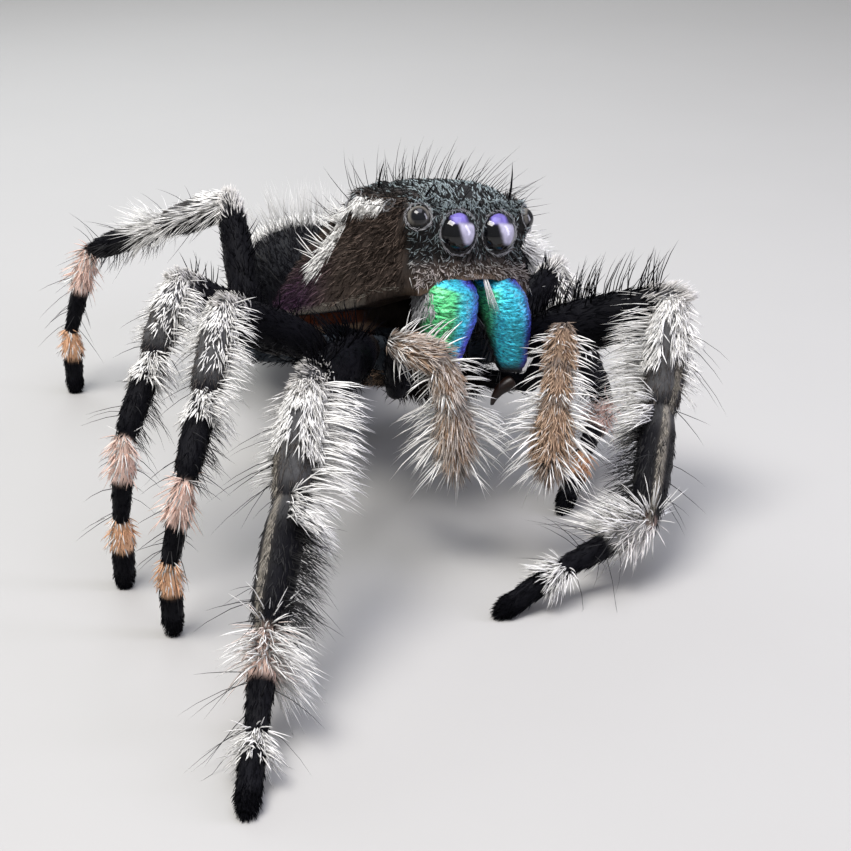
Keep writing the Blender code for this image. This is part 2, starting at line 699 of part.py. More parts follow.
def keep_largest(target):
    """Keep the largest closed surface of an object, in triangles."""
    made = bmesh.new()
    made.from_mesh(target.data)
    made.faces.ensure_lookup_table()
    seen = set()
    islands = []
    for face in made.faces:
        if face in seen:
            continue
        island = {face}
        queue = [face]
        while queue:
            for edge in queue.pop().edges:
                for other in edge.link_faces:
                    if other not in island:
                        island.add(other)
                        queue.append(other)
        seen |= island
        islands.append(island)
    largest = max(islands, key=len)
    extra = [face for face in made.faces if face not in largest]
    bmesh.ops.delete(made, geom=extra, context="FACES")
    bmesh.ops.remove_doubles(made, verts=made.verts, dist=1e-7)
    bmesh.ops.dissolve_degenerate(made, edges=made.edges, dist=1e-7)
    bmesh.ops.triangulate(made, faces=made.faces)
    made.to_mesh(target.data)
    made.free()


def new_collection(name):
    """A collection in the scene."""
    made = bpy.data.collections.new(name)
    bpy.context.scene.collection.children.link(made)
    return made


def ball(centre, radius, columns, rows):
    """A closed sphere with its poles forward and back."""
    made = bmesh.new()
    bmesh.ops.create_uvsphere(made, u_segments=columns, v_segments=rows, radius=radius * MM)
    turn = FORWARD.to_track_quat("Z", "Y").to_matrix()
    bmesh.ops.rotate(made, verts=made.verts, cent=(0, 0, 0), matrix=turn)
    bmesh.ops.translate(made, verts=made.verts, vec=centre * MM)
    bmesh.ops.triangulate(made, faces=made.faces)
    return made


def build_carapace(group):
    """The carapace with a socket for each eye, and the eyes in them."""
    back = CARAPACE[-1][0]
    rings = [carapace_section(-0.02, 0.5), carapace_section(-0.04, 0.93)]
    for k in range(CARAPACE_RINGS):
        share = k / (CARAPACE_RINGS - 1)
        rings.append(carapace_section(-0.15 + (back + 0.15) * share))
    rings[0] = [point + FORWARD * 0.1 for point in rings[0]]
    rings[1] = [point + FORWARD * 0.1 for point in rings[1]]
    carapace = add_object("carapace", loft(rings), DARK_SHELL, group)
    sockets = new_collection("sockets")
    for kind, (forward, left, up, radius) in EYES.items():
        columns = 18 if radius > 0.3 else (12 if radius > 0.15 else 10)
        rows = columns // 2
        for word, side in (("left", 1), ("right", -1)):
            centre = head((forward, side * left, up))
            add_object(kind + "_" + word, ball(centre, radius, columns, rows), EYE_BLACK, group)
            socket = ball(centre, radius + EYE_GAP, columns, rows)
            add_object("socket_" + kind + "_" + word, socket, None, sockets)
    combine(carapace, sockets, "DIFFERENCE")
    coat = Coat(carapace)
    for side in (1, -1):
        for k in range(SIDE_TUFT_LOCKS):
            share = k / (SIDE_TUFT_LOCKS - 1)
            forward, turn, length = (a + (b - a) * share for a, b in zip(SIDE_TUFT_FRONT, SIDE_TUFT_BACK))
            root, out = carapace_surface(forward, turn, side)
            along = (-FORWARD - UP * SIDE_TUFT_DROOP).normalized()
            coat.lock(root, out, along, SIDE_TUFT_RISE, length)
        for forward, turn, length, lean_forward in HEAD_SPINES:
            root, out = carapace_surface(forward, turn, side)
            along = (UP + FORWARD * lean_forward).normalized()
            coat.bristle(root, out, along, HEAD_SPINE_RISE, length)
    coat.fuse()


def build_underbody(group):
    """Sternum, mouth plates and flanks: a rounded box under the carapace."""
    rings = []
    steps = 9
    for k in range(steps):
        share = k / (steps - 1)
        forward = UNDER_FRONT + (UNDER_BACK - UNDER_FRONT) * share
        top = blend_rows(CARAPACE, forward)[1] - BODY_GAP
        swell = (1 - abs(2 * share - 1) ** 5)
        half_width = UNDER_HALF_WIDTH * (0.62 + 0.38 * swell ** 0.5)
        bottom = UNDER_BOTTOM + 0.32 * (1 - swell)
        middle, half_height = (top + bottom) / 2, (top - bottom) / 2
        ring = []
        for n in range(20):
            turn = math.tau * n / 20
            left = math.copysign(abs(math.cos(turn)) ** 0.45, math.cos(turn)) * half_width
            up = middle + math.copysign(abs(math.sin(turn)) ** 0.6, math.sin(turn)) * half_height
            ring.append(head((forward, left, up)))
        rings.append(ring)
    add_object("underbody", loft(rings), DARK_SHELL, group)


def build_chelicera(side, word, group):
    """One chelicera, and the fang folded in under it."""
    rings = []
    steps = 10
    for k in range(steps):
        share = k / (steps - 1)
        half_width, half_depth, forward = blend_rows(CHELICERA, share)
        up = CHELICERA_TOP + (CHELICERA_BOTTOM - CHELICERA_TOP) * share
        left = side * (CHELICERA_LEFT + CHELICERA_SPREAD * share)
        rings.append(ellipse(head((forward, left, up)), LEFT, FORWARD, half_width, half_depth, 16))
    add_object("chelicera_" + word, loft(rings), GREEN_BLUE, group)
    fang = []
    steps = 6
    for k in range(steps):
        share = k / (steps - 1)
        bend = math.radians(20 + 75 * share)
        left = side * (FANG_LEFT - FANG_SWING * math.sin(bend))
        up = CHELICERA_BOTTOM - JOINT_GAP - 0.08 - FANG_DROP * (1 - math.cos(bend)) - 0.1 * share
        radius = FANG_RADIUS * (1 - 0.72 * share)
        across = (LEFT * (side * math.cos(bend) * -1) - UP * math.sin(bend)).normalized()
        tall = across.cross(FORWARD)
        fang.append(ellipse(head((-0.36 - 0.2 * share, left, up)), FORWARD, tall, radius, radius, 10))
    add_object("fang_" + word, loft(fang), FANG_BROWN, group)


def abdomen_frame():
    """Start, axis, side and up of the abdomen."""
    swing = math.radians(ABDOMEN_SWING)
    droop = math.radians(ABDOMEN_DROOP)
    along = Vector((math.sin(swing) * math.cos(droop), math.cos(swing) * math.cos(droop), -math.sin(droop)))
    side = Vector((math.cos(swing), -math.sin(swing), 0.0))
    up = side.cross(along)
    return head(WAIST) + along * ABDOMEN_START, along, side, up


def abdomen_size(share):
    """Half width and half height of the abdomen at a share of its length."""
    round_end = math.sin(math.pi * share ** 0.94) ** 0.52
    taper = 1.0 - 0.22 * share ** 2
    return ABDOMEN_HALF_WIDTH * round_end * taper, ABDOMEN_HALF_HEIGHT * round_end * taper


def abdomen_surface(share, turn):
    """A point of the abdomen at a share of its length and an angle round it, and the way out there."""
    start, along, side, up = abdomen_frame()
    half_width, half_height = abdomen_size(share)
    angle = math.radians(turn)
    offset = side * (half_width * math.cos(angle)) + up * (half_height * math.sin(angle))
    out = side * (half_height * math.cos(angle)) + up * (half_width * math.sin(angle))
    return start + along * (ABDOMEN_LENGTH * share) + offset * 0.97, out.normalized()


def build_abdomen(group):
    """Abdomen, the waist in front of it and the spinnerets behind it."""
    start, along, side, up = abdomen_frame()
    rings = []
    for k in range(ABDOMEN_RINGS):
        share = 0.008 + 0.984 * (0.5 - 0.5 * math.cos(math.pi * k / (ABDOMEN_RINGS - 1)))
        half_width, half_height = abdomen_size(share)
        centre = start + along * (ABDOMEN_LENGTH * share)
        rings.append(ellipse(centre, side, up, half_width, half_height, ABDOMEN_SIDES))
    abdomen = add_object("abdomen", loft(rings), BLACK_HAIR, group)
    coat = Coat(abdomen)
    for k in range(BAND_LOCKS):
        root, out = abdomen_surface(BAND_SHARE, BAND_START + BAND_TURN * k / (BAND_LOCKS - 1))
        coat.lock(root, out, along, BAND_RISE, BAND_LENGTH)
    for k in range(BACK_SPINES):
        share = BACK_SPINES_START + (BACK_SPINES_END - BACK_SPINES_START) * k / (BACK_SPINES - 1)
        root, out = abdomen_surface(share, BAND_START + k * GOLDEN_ANGLE % BAND_TURN)
        coat.bristle(root, out, along, BACK_SPINE_RISE, BACK_SPINE_LENGTH)
    coat.fuse()
    front = head((UNDER_BACK - 0.08, 0.0, -2.12))
    back = start - along * 0.12
    half_way = (along - FORWARD).normalized()
    waist = []
    for share, size, normal in ((0.0, 1.0, -FORWARD), (0.5, 0.82, half_way), (1.0, 1.0, along)):
        centre = front.lerp(back, share)
        across = normal.cross(UP).normalized()
        radius = WAIST_RADIUS * size
        waist.append(ellipse(centre, across, across.cross(normal), radius, radius, 12))
    add_object("waist", loft(waist), DARK_SHELL, group)
    end = start + along * (ABDOMEN_LENGTH + 0.08)
    stub = []
    for share, size in SPINNERETS:
        centre = end + (along - up * SPINNERET_DROOP) * (SPINNERET_LENGTH * share)
        stub.append(ellipse(centre, side, up, size * 1.15, size, 12))
    spinnerets = add_object("spinnerets", loft(stub), BLACK_HAIR, group)
    coat = Coat(spinnerets)
    for turn in SPINNERET_TURNS:
        angle = math.radians(turn)
        out = side * math.cos(angle) + up * math.sin(angle)
        root = end + along * (SPINNERET_LENGTH * 0.55) + out * (SPINNERETS[-1][1] * 0.7)
        coat.lock(root, out, along, SPINNERET_HAIR_RISE, SPINNERET_HAIR_LENGTH, SPINNERET_THICKNESS)
    coat.fuse()


def stand_on_origin(group):
    """Move every piece so that the middle of the whole, on the floor, is the origin."""
    low = Vector((1e9, 1e9, 1e9))
    high = -low
    for piece in group.objects:
        for vertex in piece.data.vertices:
            low = Vector(map(min, low, vertex.co))
            high = Vector(map(max, high, vertex.co))
    middle = Vector(((low.x + high.x) / 2, (low.y + high.y) / 2, low.z))
    for piece in group.objects:
        for vertex in piece.data.vertices:
            vertex.co -= middle


def main():
    """Build the spider from an empty scene."""
    for old in list(bpy.data.objects):
        bpy.data.objects.remove(old)
    group = new_collection("regal_jumping_spider")
    build_carapace(group)
    build_underbody(group)
    for side, word in ((1, "left"), (-1, "right")):
        build_chelicera(side, word, group)
        build_palp("palp_" + word, group)
    for name in POSE:
        build_leg(name, group)
    build_abdomen(group)
    stand_on_origin(group)


main()
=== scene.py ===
"""Regal jumping spider: skin, coat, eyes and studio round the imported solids.

The animal faces -Y, its left side is +X, and its feet stand on z = 0. Lengths of the animal
are in millimetres and angles in degrees until a mesh is made. Points of the head are
(forward, left, up) from the middle of the front eye row.
"""
import math
from collections import namedtuple

import bpy
import numpy as np
from mathutils import Matrix, Vector, noise


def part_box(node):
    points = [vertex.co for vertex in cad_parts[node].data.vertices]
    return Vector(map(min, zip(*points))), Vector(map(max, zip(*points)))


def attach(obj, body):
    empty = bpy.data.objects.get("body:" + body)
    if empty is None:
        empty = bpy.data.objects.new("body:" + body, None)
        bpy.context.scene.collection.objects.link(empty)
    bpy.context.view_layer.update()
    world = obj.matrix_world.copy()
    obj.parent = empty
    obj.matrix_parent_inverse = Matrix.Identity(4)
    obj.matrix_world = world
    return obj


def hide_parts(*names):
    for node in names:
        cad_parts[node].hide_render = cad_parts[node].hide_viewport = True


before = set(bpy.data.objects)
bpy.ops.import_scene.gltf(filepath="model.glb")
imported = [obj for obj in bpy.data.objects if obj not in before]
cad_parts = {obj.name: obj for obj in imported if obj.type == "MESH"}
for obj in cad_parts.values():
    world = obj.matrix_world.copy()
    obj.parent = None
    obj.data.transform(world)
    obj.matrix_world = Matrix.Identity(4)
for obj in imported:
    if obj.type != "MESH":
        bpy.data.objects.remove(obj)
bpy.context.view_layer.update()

bl_info = {
    "name": "Regal jumping spider",
    "version": (1, 0, 0),
    "blender": (4, 5, 0),
    "location": "3D View > Sidebar > Spider",
    "description": "Builds the skin, coat, eyes and studio of a life-size spider model",
    "category": "Add Mesh",
}

MM = 0.001

# How the front part of the body is turned
HEAD_PITCH = 13.7
HEAD_ROLL = 11.4

# Carapace stations: forward, top, rim height, rim half width, top half width, squareness
CARAPACE = (
    (-0.15, 0.70, -1.12, 1.36, 1.28, 3.4),
    (-0.80, 0.89, -1.24, 1.56, 1.36, 3.4),
    (-1.80, 0.92, -1.42, 1.86, 1.38, 3.0),
    (-2.80, 0.76, -1.54, 2.08, 1.32, 2.6),
    (-3.60, 0.32, -1.60, 2.02, 1.16, 2.3),
    (-4.30, -0.38, -1.62, 1.66, 0.98, 2.2),
    (-4.90, -1.02, -1.58, 1.14, 0.72, 2.1),
    (-5.28, -1.36, -1.50, 0.50, 0.34, 2.0),
)
FACE_CURVE = 0.20
FACE_CURVE_END = -1.2
FACE_FRONT = 0.06
# The front rounds over from these places on: its top falls, its corners draw in, and the part
# round the eyes is set back
ROUND_START = -0.95
ROUND_FALL = 0.32
CORNER_START = -0.45
CORNER_SHARE = 0.10
FACE_SETBACK = 0.17
SETBACK_UP = (-0.85, -0.40)
CLYPEUS_ARCH = 0.32
ARCH_BACK = -1.0
ARCH_END = -1.5

# Eyes: forward, left, up, radius, the way each looks (forward, left, up), how high the shell
# reaches round it as a share of its radius, and how steeply the mound round it falls
EYES = {
    "eye_front_middle": ((-0.22, 0.44, 0.0), 0.375, (1.0, 0.05, 0.0), 0.30, 1.1),
    "eye_front_side": ((-0.33, 1.15, 0.25), 0.215, (0.80, 0.52, 0.22), 0.34, 1.1),
    "eye_small": ((-1.05, 1.20, 0.42), 0.10, (0.10, 0.80, 0.55), 0.62, 0.9),
    "eye_rear": ((-2.08, 1.20, 0.47), 0.185, (-0.15, 0.78, 0.60), 0.62, 0.55),
}

# The raised rim round an eye: height, distance from the lens and spread
EYE_COLLAR = 0.03
COLLAR_GAP = 0.03
COLLAR_SPREAD = 0.035

# Underbody and the soft skin between it and the rim of the carapace
UNDER_FRONT = -1.12
UNDER_BACK = -4.5
UNDER_HALF_WIDTH = 0.95
UNDER_BOTTOM = -2.9

# Chelicerae: share of the length, half width, half depth, forward
CHELICERA_TOP = -0.70
CHELICERA_BOTTOM = -2.5
# Place to the left at the top, drift to the left down to the bottom, share of the width
CHELICERA_SIDES = {-1: (-0.50, -0.12, 1.06), 1: (0.53, 0.48, 0.86)}
CHELICERA = (
    (0.00, 0.34, 0.34, -0.50),
    (0.08, 0.47, 0.48, -0.42),
    (0.22, 0.52, 0.57, -0.33),
    (0.45, 0.48, 0.58, -0.29),
    (0.68, 0.36, 0.50, -0.32),
    (0.88, 0.27, 0.40, -0.36),
    (1.00, 0.18, 0.26, -0.40),
)
# Angle round a chelicera of the middle of the side that is seen, and for each the places across
# it, -1 to 1, where green turns cyan and cyan violet, and how far these move with its length
CHELICERA_FACING = 127.7
CHELICERA_HUES = {
    -1: ((0.24, 0.70), 0.5, (0.68, 1.10), 0.5),
    1: ((-0.35, 0.25), 1.6, (0.60, 1.20), 0.6),
}
# Painted light on the outer side of a chelicera, which lies in shade: how much brighter it is
CHELICERA_PAINTED_LIGHT = {-1: 0.2, 1: 0.9}
# Wrinkles of a chelicera, coarse and fine: depth, and how close they lie across and along it
WRINKLES = ((0.018, 6.0, 17.0), (0.012, 14.0, 36.0))
# Fangs: radius, how far aside of the chelicera's tip, and how far each swings in and hangs down
FANG_RADIUS = 0.14
FANG_ASIDE = 0.12
FANG_SWING = 0.40
FANG_DROP = 0.30

# Abdomen: from the waist back, swung to the left and hanging a little
WAIST = (-5.2, 0.0, -1.98)
ABDOMEN_SWING = 31.0
ABDOMEN_DROOP = 5.5
ABDOMEN_START = 0.35
ABDOMEN_LENGTH = 6.3
ABDOMEN_HALF_WIDTH = 1.76
ABDOMEN_HALF_HEIGHT = 1.52
# Bluntness of its two ends, and how much slimmer it is at the rear
ABDOMEN_ENDS = (0.94, 0.52)
ABDOMEN_TAPER = 0.22
# Spinnerets: left, up, length and half width, then how far each leans out and hangs at its tip
SPINNERETS = ((0.16, 0.12, 0.66, 0.13), (0.20, -0.12, 0.72, 0.14), (0.07, -0.02, 0.5, 0.09))
SPINNERET_LEAN = 0.06
SPINNERET_HANG = 0.16
WAIST_HALF = 0.32

# Legs: root of the coxa and root of the femur, in head points
COXA_INNER = {1: -1.62, 2: -2.46, 3: -3.28, 4: -4.06}
COXA_UP = -2.2
COXA_HALF = (0.35, 0.36)
FEMUR_ROOT = {
    "leg_1_right": (-1.15, -1.6, -2.05),
    "leg_2_right": (-2.1, -1.95, -2.1),
    "leg_3_right": (-3.2, -2.0, -2.15),
    "leg_4_right": (-4.25, -2.0, -2.25),
    "leg_1_left": (-1.15, 1.6, -2.05),
    "leg_2_left": (-2.1, 2.0, -2.2),
    "leg_3_left": (-3.2, 2.08, -2.38),
    "leg_4_left": (-4.25, 2.1, -2.25),
}
# Femur, patella, tibia, metatarsus and tarsus lengths
LENGTHS = {
    1: (3.2, 2.05, 2.2, 1.75, 1.25),
    2: (2.8, 1.7, 1.65, 1.4, 1.2),
    3: (2.9, 1.5, 1.6, 1.5, 1.2),
    4: (3.3, 1.65, 2.1, 1.8, 1.3),
}
LEG_2_LEFT_LENGTHS = (2.5, 1.5, 1.6, 1.4, 1.2)
# Half width and half height of the same five segments
THICKNESS = {
    1: ((0.42, 0.54), (0.40, 0.44), (0.38, 0.47), (0.28, 0.29), (0.25, 0.26)),
    2: ((0.36, 0.43), (0.34, 0.37), (0.29, 0.31), (0.25, 0.25), (0.25, 0.25)),
    3: ((0.36, 0.43), (0.33, 0.36), (0.28, 0.30), (0.25, 0.25), (0.25, 0.25)),
    4: ((0.37, 0.45), (0.34, 0.37), (0.29, 0.31), (0.25, 0.25), (0.25, 0.25)),
}
# Headings of femur, shin and foot, from -Y towards +X, then rises of the first four segments
POSE = {
    "leg_1_right": ((-54, -46, -40), (9, -38.5, -34.5, -27)),
    "leg_2_right": ((-77, -47, -111), (31, -35, -36, -77)),
    "leg_3_right": ((-86, -55, -138), (38, -37, -39, -84)),
    "leg_4_right": ((157, -154, -120), (39, -24, -24, -74)),
    "leg_1_left": ((35, -50, -98), (20.5, -49, -36, -15)),
    "leg_2_left": ((110, -16.5, -61), (20, -41, -36.5, -21.5)),
    "leg_3_left": ((122, 114, 120), (40, -38, -52, -38)),
    "leg_4_left": ((142, 134, 142), (41, -30, -38, -35)),
}
FOOT_DIP = 0.06
FOOT_TIP_RADIUS = 0.2
SEGMENTS = ("femur", "patella", "tibia", "metatarsus", "tarsus")
# Round end of a segment: its length against its radius, and the angle where it stops
ROUND_END = 0.9
MOST_FALL = 1.36
ROUND_FALLS = (MOST_FALL, 0.98, 0.56)

# Angle of a painted highlight, a pale band along the lit side of two segments of a front leg, and its half
# spread
SHEEN_BAND = {"patella": 140.0, "tibia": 116.0}
SHEEN_BAND_SPREAD = 11.0

# Share of a segment's length, and share of its thickness there
THIN_AND_THICK = {
    "coxa": ((0.0, 1.0), (0.45, 1.02), (1.0, 0.84)),
    "femur": ((0.0, 0.62), (0.16, 0.86), (0.40, 1.0), (0.68, 0.96), (0.88, 0.84), (1.0, 0.68)),
    "patella": ((0.0, 0.72), (0.26, 0.97), (0.62, 1.0), (0.86, 0.92), (1.0, 0.76)),
    "tibia": ((0.0, 0.78), (0.18, 0.97), (0.50, 1.0), (0.80, 0.92), (1.0, 0.66)),
    "metatarsus": ((0.0, 0.80), (0.18, 1.0), (0.70, 0.92), (1.0, 0.80)),
    "tarsus": ((0.0, 0.80), (0.20, 0.98), (0.60, 1.0), (0.86, 0.94), (1.0, 0.72)),
    "palp_femur": ((0.0, 1.0), (1.0, 0.94)),
    "palp_patella": ((0.0, 0.80), (0.35, 1.0), (0.7, 1.0), (1.0, 0.84)),
    "palp_tibia": ((0.0, 0.84), (0.3, 1.0), (0.7, 1.0), (1.0, 0.84)),
    "palp_tarsus": ((0.0, 0.74), (0.25, 0.95), (0.55, 1.0), (0.82, 0.82), (1.0, 0.42)),
    "waist": ((0.0, 1.0), (0.5, 0.82), (1.0, 1.0)),
    "spinneret": ((0.0, 1.0), (0.6, 0.86), (1.0, 0.55)),
}

# Palps: femur path, then knee, heading of the end part and rises of patella, tibia and tarsus
PALP_ROOT = (-1.0, 0.88, -2.66)
PALP_BEND = (-0.45, 1.5, -2.74)
PALPS = {
    "palp_left": ((0.56, 1.42, -1.72), -46.0, (-27.0, -34.0, -44.0)),
    "palp_right": ((0.19, -1.98, -1.87), 29.0, (-10.0, -74.0, -86.0)),
}
PALP_LENGTHS = (0.85, 0.75, 1.2)
PALP_HALF = (0.24, 0.28, 0.27, 0.32)

# Camera: height and turn of the line of sight, distance, place of the middle of the picture
# beside and below the face, and the picture's width in pixels with its pixels for each mm
# at 1 mm distance
VIEW_RISE = 24.0
VIEW_TURN = -37.7
VIEW_DISTANCE = 34.0
VIEW_RIGHT = -0.993
VIEW_UP = -3.366
PICTURE_WIDTH = 851
PICTURE_FOCUS = 57.2 * 34.0

# The hairs: places of the rings along a hair, their share of its width, corners round it, depth
# of the root, and on the unwrap the size of a hair and the share of it that is used
HAIR_PLACES = (0.0, 0.36, 0.72)
HAIR_SIZES = (1.0, 0.86, 0.52)
HAIR_CORNERS = 3
HAIR_SINK = 0.012
HAIR_PATCH = 0.003
UNWRAP_USED = 0.99
MOST_TRIANGLES = 200000


class SpiderSkinSettings(bpy.types.PropertyGroup):
    """Sizes of the skin."""
    depth: bpy.props.FloatProperty(
        name="Skin depth", description="How far the skin lies inside the solids",
        default=0.00006, unit="LENGTH")
    grain: bpy.props.FloatProperty(
        name="Skin grain", description="Size of the faces of the skin", default=0.00005, unit="LENGTH")
    smoothing: bpy.props.IntProperty(
        name="Smoothing", description="How often the skin is smoothed", default=3)


class SpiderCoatSettings(bpy.types.PropertyGroup):
    """Amount and size of the hairs."""
    amount: bpy.props.FloatProperty(
        name="Amount", description="Share of the full number of hairs", default=1.0, subtype="FACTOR")
    width: bpy.props.FloatProperty(
        name="Width", description="Width of a thick white hair at its root", default=0.000034, unit="LENGTH")


class SpiderColourSettings(bpy.types.PropertyGroup):
    """Colours of the skin and the coat."""
    black: bpy.props.FloatVectorProperty(
        name="Black", description="Black shell and hair", default=(0.006, 0.006, 0.008), subtype="COLOR")
    white: bpy.props.FloatVectorProperty(
        name="White", description="White hair", default=(0.94, 0.93, 0.91), subtype="COLOR")
    grey: bpy.props.FloatVectorProperty(
        name="Grey", description="Grey hair and scales", default=(0.14, 0.14, 0.145), subtype="COLOR")
    # Pale colour of the carapace rim and its hairs and of the small eyes' rings, and of the painted highlight
    # along the front legs
    rim_and_sheen: bpy.props.FloatVectorProperty(
        name="Stripe", description="Stripe along the front legs", default=(0.24, 0.22, 0.19), subtype="COLOR")
    peach: bpy.props.FloatVectorProperty(
        name="Peach", description="Rings of the middle legs", default=(0.90, 0.66, 0.57), subtype="COLOR")
    orange: bpy.props.FloatVectorProperty(
        name="Orange", description="Rings near the feet", default=(0.70, 0.42, 0.26), subtype="COLOR")
    tan: bpy.props.FloatVectorProperty(
        name="Tan", description="Hair of the palps", default=(0.54, 0.38, 0.27), subtype="COLOR")
    brown: bpy.props.FloatVectorProperty(
        name="Brown", description="Sides of the carapace", default=(0.040, 0.030, 0.025), subtype="COLOR")
    rust: bpy.props.FloatVectorProperty(
        name="Rust", description="Soft skin under the shell", default=(0.12, 0.030, 0.012), subtype="COLOR")
    green: bpy.props.FloatVectorProperty(
        name="Green", description="Outer side of a chelicera", default=(0.080, 0.46, 0.18), subtype="COLOR")
    cyan: bpy.props.FloatVectorProperty(
        name="Cyan", description="Middle of a chelicera", default=(0.04, 0.46, 0.60), subtype="COLOR")
    # Painted reflection of the sky and of a side light in the big eyes
    painted_reflection: bpy.props.FloatVectorProperty(
        name="Glow", description="Sky in the big eyes", default=(0.16, 0.13, 0.42), subtype="COLOR")
    violet: bpy.props.FloatVectorProperty(
        name="Violet", description="Inner edge of a chelicera", default=(0.09, 0.09, 0.62), subtype="COLOR")


class SpiderStageSettings(bpy.types.PropertyGroup):
    """Floor and light."""
    floor_colour: bpy.props.FloatVectorProperty(
        name="Floor", description="Colour of the floor", default=(0.42, 0.415, 0.408), subtype="COLOR")
    floor_size: bpy.props.FloatProperty(
        name="Floor size", description="Width of the floor", default=0.6, unit="LENGTH")
    key_power: bpy.props.FloatProperty(
        name="Key light", description="Power of the main soft light", default=0.074, unit="POWER")
    sky: bpy.props.FloatProperty(
        name="Sky", description="Strength of the light from all round", default=0.30)


def colour(name):
    """One of the settings' colours."""
    return np.array(getattr(bpy.context.scene.spider_colours, name))


def vector(*values):
    return np.array(values, float)


def unit(v):
    """Unit vectors along the last axis."""
    return v / np.linalg.norm(v, axis=-1, keepdims=True)


def smoothstep(low, high, x):
    """0 below low, 1 above high, smooth between."""
    t = np.clip((x - low) / (high - low), 0.0, 1.0)
    return t * t * (3 - 2 * t)


def quarter(low, high, x):
    """0 below low, then a quarter circle that reaches 1 at high."""
    t = np.clip((x - low) / (high - low), 0.0, 1.0)
    return 1 - np.sqrt(1 - t * t)


def smooth_max(a, b, soft):
    """The larger of two, rounded where they cross."""
    t = np.clip(0.5 + 0.5 * (a - b) / soft, 0.0, 1.0)
    return b + (a - b) * t + soft * t * (1 - t)


def head_axes():
    """Forward, left and up of the front part of the body."""
    pitch = math.radians(HEAD_PITCH)
    roll = math.radians(HEAD_ROLL)
    forward = vector(0.0, -math.cos(pitch), math.sin(pitch))
    level_left = vector(1.0, 0.0, 0.0)
    level_up = np.cross(forward, level_left)
    left = level_left * math.cos(roll) - level_up * math.sin(roll)
    up = level_up * math.cos(roll) + level_left * math.sin(roll)
    return forward, left, up


FORWARD, LEFT, UP = head_axes()


def find_face():
    """The middle of the front eye row, from the solid of the left front eye."""
    low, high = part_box("eye_front_middle_left")
    place = EYES["eye_front_middle"][0]
    return np.array((low + high) / 2) / MM - (FORWARD * place[0] + LEFT * place[1] + UP * place[2])


FACE = find_face()


def head(forward, left, up):
    """Head points, single or in rows, in the part's frame."""
    forward, left, up = (np.asarray(v, float)[..., None] for v in (forward, left, up))
    return FACE + FORWARD * forward + LEFT * left + UP * up


# An eye: its kind, side, place in head points, middle, way it looks, radius, seat and mound
Eye = namedtuple("Eye", "kind side place centre axis radius seat fall")


def list_eyes():
    """The eight eyes."""
    made = []
    for kind, ((forward, left, up), radius, look, seat, fall) in EYES.items():
        for side in (1, -1):
            place = (forward, side * left, up)
            axis = unit(FORWARD * look[0] + LEFT * (side * look[1]) + UP * look[2])
            made.append(Eye(kind, side, place, head(*place), axis, radius, seat, fall))
    return made


ALL_EYES = list_eyes()


def to_head(points):
    """Forward, left and up of points in the part's frame."""
    offset = points - FACE
    return offset @ FORWARD, offset @ LEFT, offset @ UP


def direction(heading, rise):
    """The unit vector at a heading, from -Y towards +X, and a rise above level."""
    turn = math.radians(heading)
    lift = math.radians(rise)
    flat = math.cos(lift)
    return vector(math.sin(turn) * flat, -math.cos(turn) * flat, math.sin(lift))


def level_side(heading):
    """The level unit vector across a segment with that heading."""
    turn = math.radians(heading)
    return vector(math.cos(turn), math.sin(turn), 0.0)


class Profile:
    """A smooth reading between rows that are sorted by their first number."""

    def __init__(self, rows, steps=240):
        rows = np.array(sorted(rows), float)
        keys = rows[:, 0]
        self.x = np.linspace(keys[0], keys[-1], steps)
        place = np.clip(np.searchsorted(keys, self.x, side="right") - 1, 0, len(keys) - 2)
        t = ((self.x - keys[place]) / (keys[place + 1] - keys[place]))[:, None]
        p = rows[np.maximum(place - 1, 0), 1:]
        q = rows[place, 1:]
        r = rows[place + 1, 1:]
        s = rows[np.minimum(place + 2, len(keys) - 1), 1:]
        self.y = 0.5 * (2 * q + (r - p) * t + (2 * p - 5 * q + 4 * r - s) * t ** 2
                        + (3 * q - p - 3 * r + s) * t ** 3)

    def __call__(self, x):
        return [np.interp(x, self.x, column) for column in self.y.T]


class Segment:
    """One straight stretch of a limb: its axis, its thickness and where it lies along the limb."""

    def __init__(self, kind, start, end, side, half, travel=0.0):
        self.kind = kind
        self.start = start
        self.end = end
        self.length = float(np.linalg.norm(end - start))
        self.along = (end - start) / self.length
        self.side = unit(side - self.along * side.dot(self.along))
        self.tall = np.cross(self.along, self.side)
        self.half = half
        self.profile = Profile(THIN_AND_THICK[kind])
        self.travel = travel

    def surface(self, share, turn, inset=0.0):
        """Points on the skin at shares of the length and angles round it, and the ways out.

        Shares below 0 and above 1 run over the round ends.
        """
        share = np.asarray(share, float)
        angle = np.radians(turn)
        held = np.clip(share, 0.0, 1.0)
        size = self.profile(held)[0]
        half_width = self.half[0] * size - inset
        half_height = self.half[1] * size - inset
        reach = ROUND_END * (half_width + half_height) / 2
        fall = np.clip((share - held) * self.length / reach, -MOST_FALL, MOST_FALL)
        x = (np.cos(angle) * np.cos(fall))[..., None]
        y = (np.sin(angle) * np.cos(fall))[..., None]
        centre = self.start + self.along * (self.length * held + reach * np.sin(fall))[..., None]
        point = centre + self.side * x * half_width[..., None] + self.tall * y * half_height[..., None]
        out = self.side * x * half_height[..., None] + self.tall * y * half_width[..., None]
        return point, unit(out + self.along * (reach * np.sin(fall))[..., None])

    def end_share(self, end, fall):
        """The share of a ring on the round end, at an angle from its rim."""
        reach = ROUND_END * sum(self.half) / 2 * self.profile(end)[0]
        return end + (fall if end else -fall) * reach / self.length

    def place(self, points):
        """Distance outside the skin, share of the length and angle round it of points."""
        offset = points - self.start
        share = np.clip(offset @ self.along / self.length, 0.0, 1.0)
        across = offset - self.along * (share * self.length)[:, None]
        size = self.profile(share)[0]
        reach = math.sqrt(self.half[0] * self.half[1]) * size
        turn = np.degrees(np.arctan2(across @ self.tall, across @ self.side))
        return np.linalg.norm(across, axis=1) - reach, share, turn


